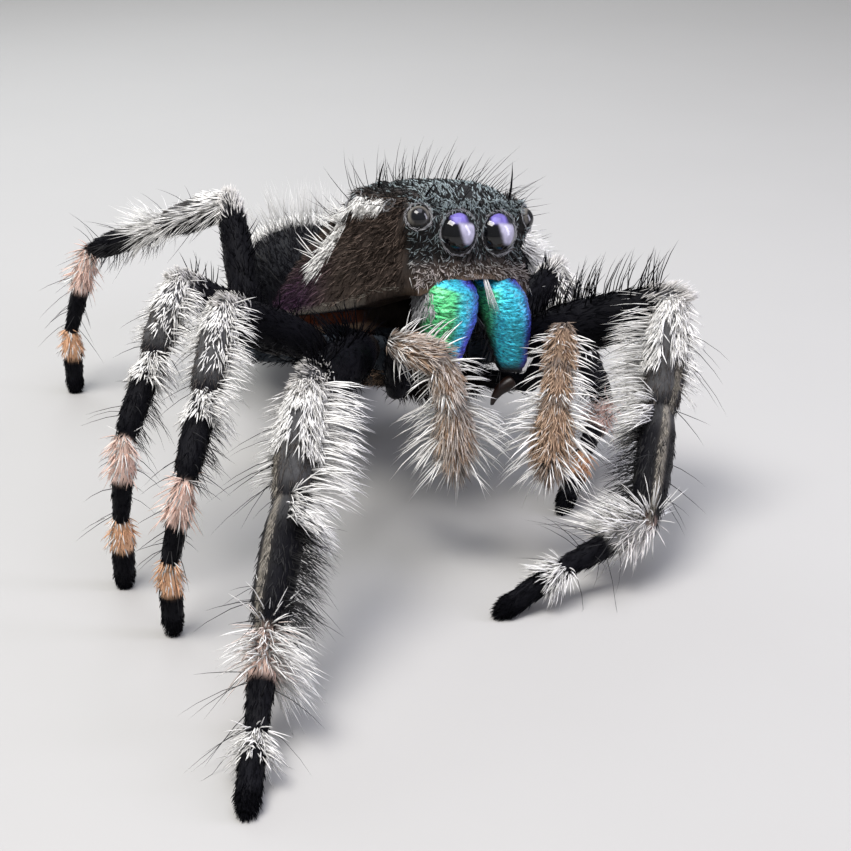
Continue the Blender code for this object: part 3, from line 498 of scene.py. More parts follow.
def solve_leg(name):
    """The segments of a leg, from the coxa to the tip on the floor."""
    number = int(name[4])
    side = 1 if name.endswith("left") else -1
    lengths = LEG_2_LEFT_LENGTHS if name == "leg_2_left" else LENGTHS[number]
    (femur_turn, shin_turn, foot_turn), rises = POSE[name]
    headings = (femur_turn, shin_turn, shin_turn, foot_turn, foot_turn)
    joints = [head(*FEMUR_ROOT[name])]
    for length, heading, rise in zip(lengths, headings, rises):
        joints.append(joints[-1] + direction(heading, rise) * length)
    rise = -60.0
    for _ in range(12):
        end_height = FOOT_TIP_RADIUS * math.cos(math.radians(rise)) - FOOT_DIP
        drop = (joints[-1][2] - end_height) / lengths[4]
        rise = -math.degrees(math.asin(min(drop, 1.0)))
    joints.append(joints[-1] + direction(foot_turn, rise) * lengths[4])
    inner = head(COXA_INNER[number], side * UNDER_HALF_WIDTH, COXA_UP)
    made = {"coxa": Segment("coxa", inner, joints[0], FORWARD, COXA_HALF)}
    travel = made["coxa"].length
    for k, kind in enumerate(SEGMENTS):
        half = THICKNESS[number][k]
        made[kind] = Segment(kind, joints[k], joints[k + 1], level_side(headings[k]), half, travel)
        travel += lengths[k]
    return made


def solve_palp(name):
    """The segments of a palp."""
    knee, heading, rises = PALPS[name]
    side = 1 if name.endswith("left") else -1
    root = head(PALP_ROOT[0], side * PALP_ROOT[1], PALP_ROOT[2])
    bend = head(PALP_BEND[0], side * PALP_BEND[1], PALP_BEND[2])
    joints = [root, bend, head(*knee)]
    for length, rise in zip(PALP_LENGTHS, rises):
        joints.append(joints[-1] + direction(heading, rise) * length)
    kinds = ("palp_femur", "palp_femur", "palp_patella", "palp_tibia", "palp_tarsus")
    names = ("root", "femur", "patella", "tibia", "tarsus")
    made = {}
    travel = 0.0
    for k, (kind, word) in enumerate(zip(kinds, names)):
        half = (PALP_HALF[max(k - 1, 0)],) * 2
        made[word] = Segment(kind, joints[k], joints[k + 1], level_side(heading), half, travel)
        travel += made[word].length
    return made


LEGS = {name: solve_leg(name) for name in POSE}
PALP_LIMBS = {name: solve_palp(name) for name in PALPS}


class Abdomen:
    """The rounded form of the abdomen."""

    def __init__(self):
        swing = math.radians(ABDOMEN_SWING)
        droop = math.radians(ABDOMEN_DROOP)
        flat = math.cos(droop)
        self.along = vector(math.sin(swing) * flat, math.cos(swing) * flat, -math.sin(droop))
        self.side = vector(math.cos(swing), -math.sin(swing), 0.0)
        self.up = np.cross(self.side, self.along)
        self.start = head(*WAIST) + self.along * ABDOMEN_START

    def size(self, share):
        """Half width and half height at shares of the length."""
        early, blunt = ABDOMEN_ENDS
        round_end = np.sin(np.pi * np.clip(share, 1e-4, 0.9999) ** early) ** blunt
        taper = 1.0 - ABDOMEN_TAPER * share ** 2
        return ABDOMEN_HALF_WIDTH * round_end * taper, ABDOMEN_HALF_HEIGHT * round_end * taper

    def surface(self, share, turn, inset=0.0):
        """Points at shares of the length and angles round it, 90 on top, and the ways out."""
        half_width, half_height = self.size(share)
        angle = np.radians(turn)
        x = (np.cos(angle) * (half_width - inset))[..., None]
        y = (np.sin(angle) * (half_height - inset))[..., None]
        centre = self.start + self.along * (ABDOMEN_LENGTH * share)[..., None]
        step = 0.01
        wider = self.size(np.minimum(share + step, 1.0))[0]
        slope = (wider - half_width) / (step * ABDOMEN_LENGTH)
        out = unit(self.side * (np.cos(angle) * half_height)[..., None]
                   + self.up * (np.sin(angle) * half_width)[..., None])
        out = unit(out - self.along * np.clip(slope, -3, 3)[..., None])
        return centre + self.side * x + self.up * y, out

    def place(self, points):
        """Distance outside the skin, share of the length and angle round it of points."""
        offset = points - self.start
        share = np.clip(offset @ self.along / ABDOMEN_LENGTH, 0.0, 1.0)
        half_width, half_height = self.size(share)
        x = offset @ self.side
        y = offset @ self.up
        beyond = np.abs(offset @ self.along - share * ABDOMEN_LENGTH)
        ring = np.hypot(x / half_width, y / half_height)
        return (ring - 1.0) * half_height + beyond, share, np.degrees(np.arctan2(y, x))


ABDOMEN = Abdomen()
CARAPACE_PROFILE = Profile(CARAPACE)
CHELICERA_PROFILE = Profile(CHELICERA)


def carapace_section(forward):
    """Top, rim, half widths and squareness of the carapace, rounded over in front."""
    top, rim, rim_half, top_half, power = CARAPACE_PROFILE(forward)
    narrow = 1 - CORNER_SHARE * quarter(CORNER_START, FACE_FRONT, forward)
    top = top - ROUND_FALL * quarter(ROUND_START, FACE_FRONT, forward)
    return top, rim, rim_half * narrow, top_half * narrow, power


def carapace_point(forward, left, up):
    """A point of the carapace, bent back at the sides of the face and set back round the eyes."""
    share = np.clip((forward - FACE_CURVE_END) / (CARAPACE[0][0] - FACE_CURVE_END), 0.0, 1.0)
    back = FACE_SETBACK * smoothstep(*SETBACK_UP, up) * smoothstep(ROUND_START, FACE_FRONT, forward)
    return head(forward - FACE_CURVE * share * left ** 2 - back, left, up)


def seat_eyes(points):
    """Move points of the shell to the cup and the mound of each eye."""
    points = points.copy()
    for eye in ALL_EYES:
        offset = points - eye.centre
        height = offset @ eye.axis
        across = np.linalg.norm(offset - height[:, None] * eye.axis, axis=1)
        near = (height > -1.3 * eye.radius) & (across < eye.radius + 0.5)
        hidden = math.sqrt(1 - eye.seat ** 2) * eye.radius - 0.035
        under = across < hidden
        collar = EYE_COLLAR * np.exp(-((across - eye.radius - COLLAR_GAP) / COLLAR_SPREAD) ** 2)
        rim = eye.seat * eye.radius + collar
        level = rim + smoothstep(eye.radius * 0.97, eye.radius + 0.20, across) * 0.7
        mound = np.where(under, -1.0, rim - eye.fall * (across - eye.radius))
        lifted = smooth_max(np.minimum(height, np.where(under, 0.0, level)), mound, 0.10)
        points[near] += eye.axis * (lifted - height)[near][:, None]
    return points


def over_section(angle, section):
    """Left and up of a section's outline at angles, 0 at the left rim."""
    top, rim, rim_half, top_half, power = section
    across = np.sign(np.cos(angle)) * np.abs(np.cos(angle)) ** (2 / power)
    height = np.abs(np.sin(angle)) ** (2 / power)
    return across * (rim_half + (top_half - rim_half) * height), rim + (top - rim) * height


def carapace_surface(forward, turn):
    """Points of the carapace at angles over its section, 0 at the left rim and 180 at the right."""
    forward = np.asarray(forward, float)
    turn = np.asarray(turn, float)

    def at(place, angle):
        return seat_eyes(carapace_point(place, *over_section(angle, carapace_section(place))))

    angle = np.radians(np.clip(turn, 0.5, 179.5))
    here = at(forward, angle)
    ahead = at(forward + 0.03, angle) - at(forward - 0.03, angle)
    round_it = at(forward, angle + 0.01) - at(forward, angle - 0.01)
    out = unit(np.cross(ahead, round_it))
    middle = head(forward, np.zeros_like(forward), np.full_like(forward, -0.6))
    return here, out * np.sign(np.sum(out * (here - middle), axis=-1, keepdims=True))


class Shape:
    """Closed forms, gathered for one mesh."""

    def __init__(self):
        self.points = []
        self.faces = []
        self.count = 0

    def loft(self, rings):
        """Close rows of rings into one body, with a fan at each end."""
        rings = np.array(rings)
        rows, columns = rings.shape[:2]
        start = self.count
        ends = np.array([rings[0].mean(0), rings[-1].mean(0)])
        self.points += [rings.reshape(-1, 3), ends]
        first = start + rows * columns
        facing = np.cross(rings[0][1] - rings[0][0], rings[0][2] - rings[0][1])
        turned = facing.dot(rings[1][0] - rings[0][0]) < 0
        for i in range(rows - 1):
            for k in range(columns):
                n = (k + 1) % columns
                a, b = start + i * columns + k, start + i * columns + n
                c, d = b + columns, a + columns
                self.faces.append((d, c, b, a) if turned else (a, b, c, d))
        for row, hub, flip in ((0, first, turned), (rows - 1, first + 1, not turned)):
            for k in range(columns):
                a = start + row * columns + k
                b = start + row * columns + (k + 1) % columns
                self.faces.append((a, b, hub) if flip else (b, a, hub))
        self.count = first + 2

    def edges(self):
        """Pairs of neighbouring points."""
        pairs = [(face[k - 1], face[k]) for face in self.faces for k in range(len(face))]
        return np.array(pairs)

    def mesh(self, name, scale=MM):
        """A Blender mesh of all the forms."""
        made = bpy.data.meshes.new(name)
        made.from_pydata((np.concatenate(self.points) * scale).tolist(), [], self.faces)
        made.validate()
        made.update()
        return made


def limb_rings(segment, inset, sides=26, spacing=0.09):
    """Rings along a segment and over its round ends."""
    turns = np.arange(sides) * 360.0 / sides
    shares = [segment.end_share(0.0, fall) for fall in ROUND_FALLS]
    shares += list(np.linspace(0.0, 1.0, max(int(segment.length / spacing), 6)))
    shares += [segment.end_share(1.0, fall) for fall in reversed(ROUND_FALLS)]
    return [segment.surface(np.full(sides, share), turns, inset)[0] for share in shares]


def spinnerets():
    """Three pairs of small cones at the end of the abdomen."""
    end = ABDOMEN.start + ABDOMEN.along * (ABDOMEN_LENGTH - 0.1)
    made = []
    for left, up, length, half in SPINNERETS:
        for side in (1, -1):
            root = end + ABDOMEN.side * (side * left) + ABDOMEN.up * (up - 0.02)
            aside = ABDOMEN.side * (side * SPINNERET_LEAN)
            tip = root + ABDOMEN.along * length + aside - ABDOMEN.up * SPINNERET_HANG
            made.append(Segment("spinneret", root, tip, ABDOMEN.side, (half, half)))
    return made


def waist_segment():
    """The narrow waist between the front part and the abdomen."""
    front = head(UNDER_BACK + 0.05, 0.0, -2.12)
    return Segment("waist", front, ABDOMEN.start + ABDOMEN.along * 0.1, LEFT, (WAIST_HALF, WAIST_HALF))


def under_surface(share, turn, inset=0.0):
    """Points of the underbody and the ways out."""
    share = np.asarray(share, float)
    angle = np.radians(turn)
    forward = UNDER_FRONT + (UNDER_BACK - UNDER_FRONT) * share
    rim = CARAPACE_PROFILE(forward)[1]
    swell = 1 - np.abs(2 * share - 1) ** 5
    half_width = UNDER_HALF_WIDTH * (0.62 + 0.38 * swell ** 0.5) - inset
    bottom = UNDER_BOTTOM + 0.32 * (1 - swell) + inset
    x, y = np.cos(angle), np.sin(angle)
    left = np.sign(x) * np.abs(x) ** 0.45 * half_width
    up = (rim + bottom) / 2 + np.sign(y) * np.abs(y) ** 0.6 * (rim - bottom) / 2
    out = LEFT * (np.sign(x) * np.abs(x) ** 3)[..., None] + UP * (np.sign(y) * np.abs(y) ** 2)[..., None]
    return head(forward, left, up), unit(out)


def body_rings(inset):
    """Rings of the underbody, then of the soft skin between it and the carapace."""
    turns = np.arange(40) * 9.0
    shares = np.linspace(0.0, 1.0, 26)
    under = [under_surface(np.full(40, share), turns, inset)[0] for share in shares]
    soft = []
    x, y = np.cos(np.radians(turns)), np.sin(np.radians(turns))
    for share in shares:
        forward = UNDER_FRONT + (UNDER_BACK - UNDER_FRONT) * share
        rim, rim_half = CARAPACE_PROFILE(forward)[1:3]
        round_end = math.sqrt(max(1 - abs(2 * share - 1) ** 4, 0.02))
        left = np.sign(x) * np.abs(x) ** 0.7 * (rim_half - 0.2) * round_end
        soft.append(head(np.full(40, forward), left, rim - 0.02 + y * 0.42 * round_end))
    return under, soft


def smooth_points(points, edges, times):
    """Move each point half way to the middle of its neighbours."""
    count = np.bincount(edges.ravel(), minlength=len(points))[:, None]
    for _ in range(times):
        total = np.zeros_like(points)
        for axis in range(3):
            total[:, axis] = (np.bincount(edges[:, 0], points[edges[:, 1], axis], len(points))
                              + np.bincount(edges[:, 1], points[edges[:, 0], axis], len(points)))
        points = points + 0.5 * (total / count - points)
    return points


def mesh_points(mesh):
    points = np.empty(len(mesh.vertices) * 3)
    mesh.vertices.foreach_get("co", points)
    return points.reshape(-1, 3)


def mesh_edges(mesh):
    edges = np.empty(len(mesh.edges) * 2, np.int64)
    mesh.edges.foreach_get("vertices", edges)
    return edges.reshape(-1, 2)


def remesh(shape, name, grain, smoothing):
    """One closed skin round all the forms of a shape, in millimetres."""
    rough = bpy.data.objects.new("rough_" + name, shape.mesh("rough_" + name, 1.0))
    bpy.context.scene.collection.objects.link(rough)
    modifier = rough.modifiers.new("skin", "REMESH")
    modifier.mode = "VOXEL"
    modifier.voxel_size = grain
    bpy.context.view_layer.update()
    evaluated = rough.evaluated_get(bpy.context.evaluated_depsgraph_get())
    made = bpy.data.meshes.new_from_object(evaluated)
    old = rough.data
    bpy.data.objects.remove(rough)
    bpy.data.meshes.remove(old)
    points = smooth_points(mesh_points(made), mesh_edges(made), smoothing)
    made.vertices.foreach_set("co", points.ravel())
    made.name = name
    return made, points


def spread(count, value):
    """A colour repeated in rows."""
    return np.tile(np.asarray(value, float), (count, 1))


def blend(base, over, share):
    """Mix rows of colours."""
    return base + (over - base) * share[:, None]


def ring_mask(share, low, high, soft=0.06):
    """1 between two shares of a segment, soft at both ends."""
    return smoothstep(low - soft, low + soft, share) * (1 - smoothstep(high - soft, high + soft, share))


def leg_colours(name, kind, share, turn):
    """Markings of a leg's skin, with a painted highlight along the front legs."""
    number = int(name[4])
    rows = spread(len(share), colour("black"))
    top = smoothstep(-0.5, 0.4, np.sin(np.radians(turn)))
    if kind == "femur":
        rows = blend(rows, colour("brown"), 0.6 * smoothstep(0.2, 0.0, share))
        rows = blend(rows, colour("grey") * 0.6, 0.7 * smoothstep(0.88, 0.96, share))
    elif kind == "patella":
        rows = blend(rows, colour("grey") * 0.6, 0.8 * top * smoothstep(1.0, 0.8, share))
        rows = blend(rows, colour("rust") * 0.5, smoothstep(0.06, 0.0, share))
    elif kind == "tibia":
        rows = blend(rows, colour("grey") * 0.5, 0.5 * top * smoothstep(0.3, 0.1, share))
        rows = blend(rows, colour("peach") * 0.4, 0.6 * smoothstep(0.95, 1.0, share))
    elif kind == "metatarsus":
        pale = colour("white") * 0.4 if name == "leg_1_left" else colour("peach")
        rows = blend(rows, pale, ring_mask(share, -0.1, 0.48))
    elif kind == "tarsus":
        ring = (-0.1, 0.18) if number == 1 else (-0.1, 0.44)
        pale = colour("white") * 0.45 if number == 1 else colour("orange")
        rows = blend(rows, pale, ring_mask(share, *ring))
    # Painted highlight: a pale band along the lit side of a front leg's patella and tibia
    if number == 1 and kind in SHEEN_BAND:
        around = (180.0 - turn if name.endswith("left") else turn) % 360.0
        rows = blend(rows, colour("rim_and_sheen"), 0.8 * np.exp(-((around - SHEEN_BAND[kind]) / SHEEN_BAND_SPREAD) ** 2))
    return rows


def palp_colours(kind, share):
    """Markings of a palp's skin."""
    if kind in ("root", "femur"):
        return spread(len(share), colour("black"))
    rows = spread(len(share), colour("tan") * 0.45)
    joint = np.maximum(smoothstep(0.12, 0.0, share), smoothstep(0.88, 1.0, share))
    return blend(rows, colour("grey"), 0.6 * joint)


def abdomen_marks(share, turn):
    """How white the abdomen is: a band in front, a middle triangle and two pairs of bars."""
    turn = (turn + 360.0) % 360.0
    over = np.where(turn <= 200.0, turn - 90.0, turn - 450.0)
    side = np.abs(over)
    band = ring_mask(share + np.maximum(side - 40.0, 0.0) * 0.003, 0.445, 0.60, 0.014)
    band = band * (1 - smoothstep(84, 98, side))
    half = 14 * smoothstep(0.80, 0.68, share) * smoothstep(0.63, 0.67, share)
    triangle = smoothstep(2.0, -2.0, side - half) * ring_mask(share, 0.66, 0.78, 0.012)
    front_pair = ring_mask(share - side * 0.0022, 0.64, 0.665, 0.01) * ring_mask(side, 22, 34, 3.0)
    rear_pair = ring_mask(share - side * 0.0022, 0.82, 0.855, 0.01) * ring_mask(side, 14, 34, 3.0)
    flank = ring_mask(share - side * 0.001, 0.52, 0.555, 0.01) * ring_mask(side, 62, 84, 4.0)
    return np.clip(band + triangle + front_pair + rear_pair + flank, 0.0, 1.0)


def abdomen_colours(share, turn):
    """Markings of the abdomen's skin."""
    rows = spread(len(share), colour("black"))
    under = smoothstep(-0.35, -0.9, np.sin(np.radians(turn)))
    rows = blend(rows, colour("grey") * 0.35, 0.8 * under)
    return blend(rows, colour("white") * 0.5, abdomen_marks(share, turn))


def paint_skin(points):
    """Markings and grain directions of the skin, from the nearest segment of each point."""
    nearest = np.full(len(points), 1e9)
    rows = np.zeros((len(points), 3))
    grain = np.zeros((len(points), 3))
    regions = [(ABDOMEN, abdomen_colours, 0.0)]
    for name, limb in LEGS.items():
        for kind, segment in limb.items():
            if kind == "coxa":
                paint = lambda share, turn: spread(len(share), colour("grey") * np.array((0.22, 0.27, 0.32)))
            else:
                paint = lambda share, turn, n=name, k=kind: leg_colours(n, k, share, turn)
            regions.append((segment, paint, segment.travel))
    for limb in PALP_LIMBS.values():
        for kind, segment in limb.items():
            regions.append((segment, lambda share, turn, k=kind: palp_colours(k, share), segment.travel))
    for segment in [waist_segment()] + spinnerets():
        regions.append((segment, lambda share, turn: spread(len(share), colour("brown") * 0.6), 0.0))
    for number, (region, paint, travel) in enumerate(regions):
        distance, share, turn = region.place(points)
        here = distance < nearest
        nearest[here] = distance[here]
        rows[here] = paint(share[here], turn[here])
        length = ABDOMEN_LENGTH if region is ABDOMEN else region.length
        reach = ABDOMEN_HALF_WIDTH if region is ABDOMEN else region.half[0]
        grain[here] = np.stack((travel + share[here] * length, np.radians(turn[here]) * reach,
                                np.full(here.sum(), 3.0 * number)), 1)
    forward, left, up = to_head(points)
    rim = CARAPACE_PROFILE(forward)[1]
    under = (nearest > 0.12) & (forward < -0.7) & (forward > -5.0)
    band = ring_mask(forward, -3.1, -1.7, 0.15) * (np.abs(left) > 0.6)
    soft = smoothstep(-0.62, -0.30, up - rim) * band
    plate = ring_mask(up - rim, -0.36, -0.22, 0.03) * band
    rows[under] = blend(spread(under.sum(), colour("brown") * 0.35), colour("rust") * 0.7, soft[under])
    rows[under] = blend(rows[under], colour("tan") * 0.4, plate[under])
    grain[under] = np.stack((forward[under], left[under], up[under]), 1)
    return rows, grain


def add_marking(mesh, rows):
    """Store the colours of a mesh's points."""
    rows = np.concatenate((rows, np.ones((len(rows), 1))), 1)
    made = mesh.attributes.new("marking", "FLOAT_COLOR", "POINT")
    made.data.foreach_set("color", rows.astype(np.float32).ravel())


def add_grain(mesh, rows):
    """Store the places that the streaks of a mesh's shell follow."""
    made = mesh.attributes.new("grain", "FLOAT_VECTOR", "POINT")
    made.data.foreach_set("vector", rows.astype(np.float32).ravel())


def finish_piece(name, mesh, material, slot, *nodes):
    """Put a finished mesh in the scene, riding on the body and standing for its solids."""
    mesh.materials.clear()
    mesh.materials.append(material)
    mesh.shade_smooth()
    piece = bpy.data.objects.new(name, mesh)
    bpy.context.scene.collection.objects.link(piece)
    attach(piece, "root")
    if nodes:
        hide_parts(*nodes)
    return piece


def node_names(*parts):
    """The frame's nodes whose names hold any of the given words."""
    return [name for name in sorted(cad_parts) if any(part in name for part in parts)]


class Tree:
    """Short ways to add nodes to a material or a group."""

    def __init__(self, tree):
        self.tree = tree

    def node(self, kind, inputs=None, **settings):
        """Add a node, set it, and link or fill its inputs."""
        made = self.tree.nodes.new("ShaderNode" + kind)
        for key, value in settings.items():
            setattr(made, key, value)
        for key, value in (inputs or {}).items():
            if isinstance(value, bpy.types.NodeSocket):
                self.tree.links.new(value, made.inputs[key])
            else:
                made.inputs[key].default_value = value
        return made

    def link(self, output, socket):
        self.tree.links.new(output, socket)

    def math(self, operation, a, b):
        return self.node("Math", {0: a, 1: b}, operation=operation).outputs[0]

    def mix(self, share, a, b):
        """Mix two colours."""
        return self.node("Mix", {0: share, 6: a, 7: b}, data_type="RGBA").outputs[2]

    def span(self, value, low, high, to_low, to_high):
        """Map a value from one range to another, clamped."""
        return self.node("MapRange", {0: value, 1: low, 2: high, 3: to_low, 4: to_high}).outputs[0]

    def scale(self, tone, factor):
        """Brighten a colour."""
        return self.node("VectorMath", {0: tone, "Scale": factor}, operation="SCALE").outputs[0]

    def stretch(self, place, factors):
        """Squeeze a pattern along the axes."""
        return self.node("VectorMath", {0: place, 1: factors}, operation="MULTIPLY").outputs[0]

    def cells(self, place, scale, detail, roughness=0.5):
        """Noise over the surface."""
        inputs = {"Vector": place, "Scale": scale, "Detail": detail, "Roughness": roughness}
        return self.node("TexNoise", inputs).outputs[0]


def shader_group(name, inputs, outputs, fill):
    """A node group with named sockets, built once."""
    group = bpy.data.node_groups.get(name)
    if group:
        return group
    group = bpy.data.node_groups.new(name, "ShaderNodeTree")
    for socket, kind, value in inputs:
        made = group.interface.new_socket(socket, in_out="INPUT", socket_type=kind)
        if value is not None:
            made.default_value = value
    for socket, kind in outputs:
        group.interface.new_socket(socket, in_out="OUTPUT", socket_type=kind)
    fill(Tree(group), group.nodes.new("NodeGroupInput").outputs, group.nodes.new("NodeGroupOutput").inputs)
    return group


def fill_grain(tree, given, put):
    """Fine streaks that run along a limb, over soft uneven patches."""
    streaks = tree.cells(tree.stretch(given["Place"], (1.0, 4.5, 1.0)), given["Scale"], 4.0, 0.6)
    patches = tree.cells(given["Place"], 1.6, 3.0)
    tree.link(streaks, put["Height"])
    shade = tree.math("ADD", tree.math("MULTIPLY", streaks, 0.6), tree.math("MULTIPLY", patches, 0.4))
    tree.link(tree.scale(given["Colour"], tree.span(shade, 0.3, 0.7, 0.55, 1.5)), put["Colour"])
    tree.link(tree.span(patches, 0.3, 0.7, 0.0, 1.0), put["Patches"])


def grain_group():
    return shader_group(
        "limb grain",
        (("Colour", "NodeSocketColor", None), ("Place", "NodeSocketVector", None),
         ("Scale", "NodeSocketFloat", 9.0)),
        (("Colour", "NodeSocketColor"), ("Height", "NodeSocketFloat"), ("Patches", "NodeSocketFloat")),
        fill_grain)


def fill_tone(tree, given, put):
    """Fine noise that darkens and brightens a colour."""
    cells = tree.cells(given["Place"], given["Scale"], given["Detail"], given["Roughness"])
    factor = tree.span(cells, given["Low"], given["High"], given["Dark"], given["Light"])
    tree.link(tree.scale(given["Colour"], factor), put["Colour"])
    tree.link(cells, put["Cells"])


# Values of the uneven tone: its noise, the span of the noise that counts, and the brightness there
TONE_VALUES = {"Scale": 6000.0, "Detail": 2.0, "Roughness": 0.5,
               "Low": 0.3, "High": 0.7, "Dark": 0.8, "Light": 1.2}


def uneven_tone(tree, tone, place, **values):
    """A colour made uneven by fine noise, and that noise."""
    group = shader_group(
        "uneven tone",
        (("Colour", "NodeSocketColor", None), ("Place", "NodeSocketVector", None),
         *((name, "NodeSocketFloat", value) for name, value in TONE_VALUES.items())),
        (("Colour", "NodeSocketColor"), ("Cells", "NodeSocketFloat")),
        fill_tone)
    made = tree.node("Group", {"Colour": tone, "Place": place, **values}, node_tree=group)
    return made.outputs["Colour"], made.outputs["Cells"]


def new_material(name):
    """A material with its tree helper and its Principled shader."""
    made = bpy.data.materials.new(name)
    made.use_nodes = True
    return made, Tree(made.node_tree), made.node_tree.nodes["Principled BSDF"]


def read(tree, name, output="Color"):
    """An attribute of the mesh."""
    return tree.node("Attribute", attribute_name=name).outputs[output]


def object_place(tree):
    """Coordinates of the object."""
    return tree.node("TexCoord").outputs["Object"]


def skin_material(name, roughness, scale, bump, coat=0.0):
    """Shell under the hair: dark, with streaks along the limb and uneven gloss."""
    made, tree, shader = new_material(name)
    given = {"Colour": read(tree, "marking"), "Place": read(tree, "grain", "Vector"), "Scale": scale}
    grain = tree.node("Group", given, node_tree=grain_group()).outputs
    gloss = tree.span(grain["Patches"], 0.0, 1.0, roughness - 0.08, roughness + 0.14)
    height = tree.node("Bump", {"Strength": 0.6, "Distance": bump, "Height": grain["Height"]})
    tree.link(grain["Colour"], shader.inputs["Base Color"])
    tree.link(gloss, shader.inputs["Roughness"])
    tree.link(height.outputs[0], shader.inputs["Normal"])
    shader.inputs["Specular IOR Level"].default_value = 0.04
    shader.inputs["Coat Weight"].default_value = coat
    shader.inputs["Coat Roughness"].default_value = 0.3
    return made


HAIR_ROUGHNESS = 0.50


def hair_material():
    """Hair, made once: the colour that each hair carries, with painted shade at its root, a little uneven
    along it.
    """
    name = "coat of hair"
    if name in bpy.data.materials:
        return bpy.data.materials[name]
    made, tree, shader = new_material(name)
    tone, cells = uneven_tone(tree, read(tree, "marking"), object_place(tree), Dark=0.82, Light=1.15)
    tree.link(tone, shader.inputs["Base Color"])
    gloss = tree.span(cells, 0.3, 0.7, HAIR_ROUGHNESS - 0.08, HAIR_ROUGHNESS + 0.12)
    tree.link(gloss, shader.inputs["Roughness"])
    shader.inputs["Specular IOR Level"].default_value = 0.02
    return made


class Coat:
    """Many tapered hairs, gathered and then made into one mesh."""

    def __init__(self, name, seed):
        self.name = name
        self.random = np.random.default_rng(seed)
        self.rows = []

    def count(self, number):
        """A number of hairs, after the share that the settings ask for."""
        return max(int(number * bpy.context.scene.spider_coat.amount), 1)

    def pick(self, number, low, high, first, last):
        """Random places for a number of hairs, in two spans."""
        n = self.count(number)
        return self.random.uniform(low, high, n), self.random.uniform(first, last, n)

    def grow(self, roots, outs, lies, places, length, width, rise, shade, scatter=14.0, curl=0.25, bend=None):
        """Hairs from roots, risen from the lie by an angle and bent over along it.

        The width is a share of the white hair's; outs and lies are single vectors or rows.
        """
        n = len(roots)
        draw = self.random
        across = np.cross(outs, lies)
        swing = np.radians(draw.normal(0.0, scatter, n))[:, None]
        lie = unit(lies * np.cos(swing) + across * np.sin(swing))
        lift = np.radians(np.clip(rise + draw.normal(0.0, scatter * 0.5, n), 3.0, 95.0))[:, None]
        aim = unit(lie * np.cos(lift) + outs * np.sin(lift))
        lengths = np.broadcast_to(length, n) * draw.uniform(0.68, 1.15, n)
        widths = np.broadcast_to(width * hair_width(), n) * draw.uniform(0.75, 1.2, n)
        curls = curl * draw.uniform(0.3, 1.4, n)
        shades = shade * draw.uniform(0.72, 1.18, (n, 1))
        over = lie if bend is None else unit(lie + bend)
        self.rows.append((roots - outs * HAIR_SINK, aim, over, lengths, widths, curls, shades, places))

    def build(self, slot):
        """The mesh of all the hairs."""
        roots, aim, over, length, width, curl, shade, place = (np.concatenate(x) for x in zip(*self.rows))
        n = len(roots)
        first = unit(np.cross(aim, over + 1e-3))
        second = np.cross(aim, first)
        rings = len(HAIR_PLACES)
        points = np.empty((n, rings * HAIR_CORNERS + 1, 3))
        spots = np.empty((n, rings * HAIR_CORNERS + 1, 2))
        shaded_tints = np.empty((n, rings * HAIR_CORNERS + 1, 3))
        for i, (share, size) in enumerate(zip(HAIR_PLACES, HAIR_SIZES)):
            centre = roots + aim * (length * share)[:, None] + over * (length * curl * share ** 2)[:, None]
            for k in range(HAIR_CORNERS):
                turn = math.tau * k / HAIR_CORNERS
                reach = (width * size / 2)[:, None]
                at = i * HAIR_CORNERS + k
                points[:, at] = centre + first * reach * math.cos(turn) + second * reach * math.sin(turn)
                spots[:, at] = place + HAIR_PATCH * np.array((k / (HAIR_CORNERS - 1), share))
                # Painted shade: each hair darker at its root, where the hairs shade each other, and lighter
                # towards its tip
                shaded_tints[:, at] = shade * (0.80 + 0.24 * share)
        points[:, -1] = roots + aim * length[:, None] + over * (length * curl)[:, None]
        spots[:, -1] = place + HAIR_PATCH * np.array((0.5, 1.0))
        shaded_tints[:, -1] = shade * 1.04
        corners = []
        for i in range(rings - 1):
            for k in range(HAIR_CORNERS):
                a, b = i * HAIR_CORNERS + k, i * HAIR_CORNERS + (k + 1) % HAIR_CORNERS
                c, d = b + HAIR_CORNERS, a + HAIR_CORNERS
                corners += [(a, b, c), (a, c, d)]
        last = (rings - 1) * HAIR_CORNERS
        for k in range(HAIR_CORNERS):
            corners.append((last + k, last + (k + 1) % HAIR_CORNERS, rings * HAIR_CORNERS))
        corners.append(tuple(reversed(range(HAIR_CORNERS))))
        corners = np.array(corners)
        if n * len(corners) > MOST_TRIANGLES:
            raise RuntimeError("%s has %d triangles" % (self.name, n * len(corners)))
        points[..., 2] = np.maximum(points[..., 2], 0.004)
        indices = (corners[None] + (np.arange(n) * points.shape[1])[:, None, None]).reshape(-1)
        mesh = bpy.data.meshes.new(self.name)
        mesh.vertices.add(n * points.shape[1])
        mesh.vertices.foreach_set("co", (points * MM).astype(np.float32).ravel())
        mesh.loops.add(len(indices))
        mesh.loops.foreach_set("vertex_index", indices.astype(np.int32))
        mesh.polygons.add(len(indices) // 3)
        mesh.polygons.foreach_set("loop_start", np.arange(0, len(indices), 3, dtype=np.int32))
        mesh.update(calc_edges=True)
        layer = mesh.uv_layers.new(name="OFBake")
        spots = np.clip(spots.reshape(-1, 2), 0.0, 1.0)
        layer.data.foreach_set("uv", spots[indices].astype(np.float32).ravel())
        add_marking(mesh, shaded_tints.reshape(-1, 3))
        return finish_piece(self.name, mesh, hair_material(), slot)


def skin_depth():
    """Depth of the skin in millimetres."""
    return bpy.context.scene.spider_skin.depth / MM


def hair_width():
    """Width of a thick white hair in millimetres."""
    return bpy.context.scene.spider_coat.width / MM


def spot(across, along):
    """Places on an unwrap, from shares of its width and height."""
    return np.stack((across, along), 1) * UNWRAP_USED


def unwrap(turn, share):
    """Where hairs of a round form lie on its unwrap."""
    return spot((turn % 360.0) / 360.0, share)


def limb_length(limb):
    """Length of a limb."""
    last = list(limb.values())[-1]
    return last.travel + last.length


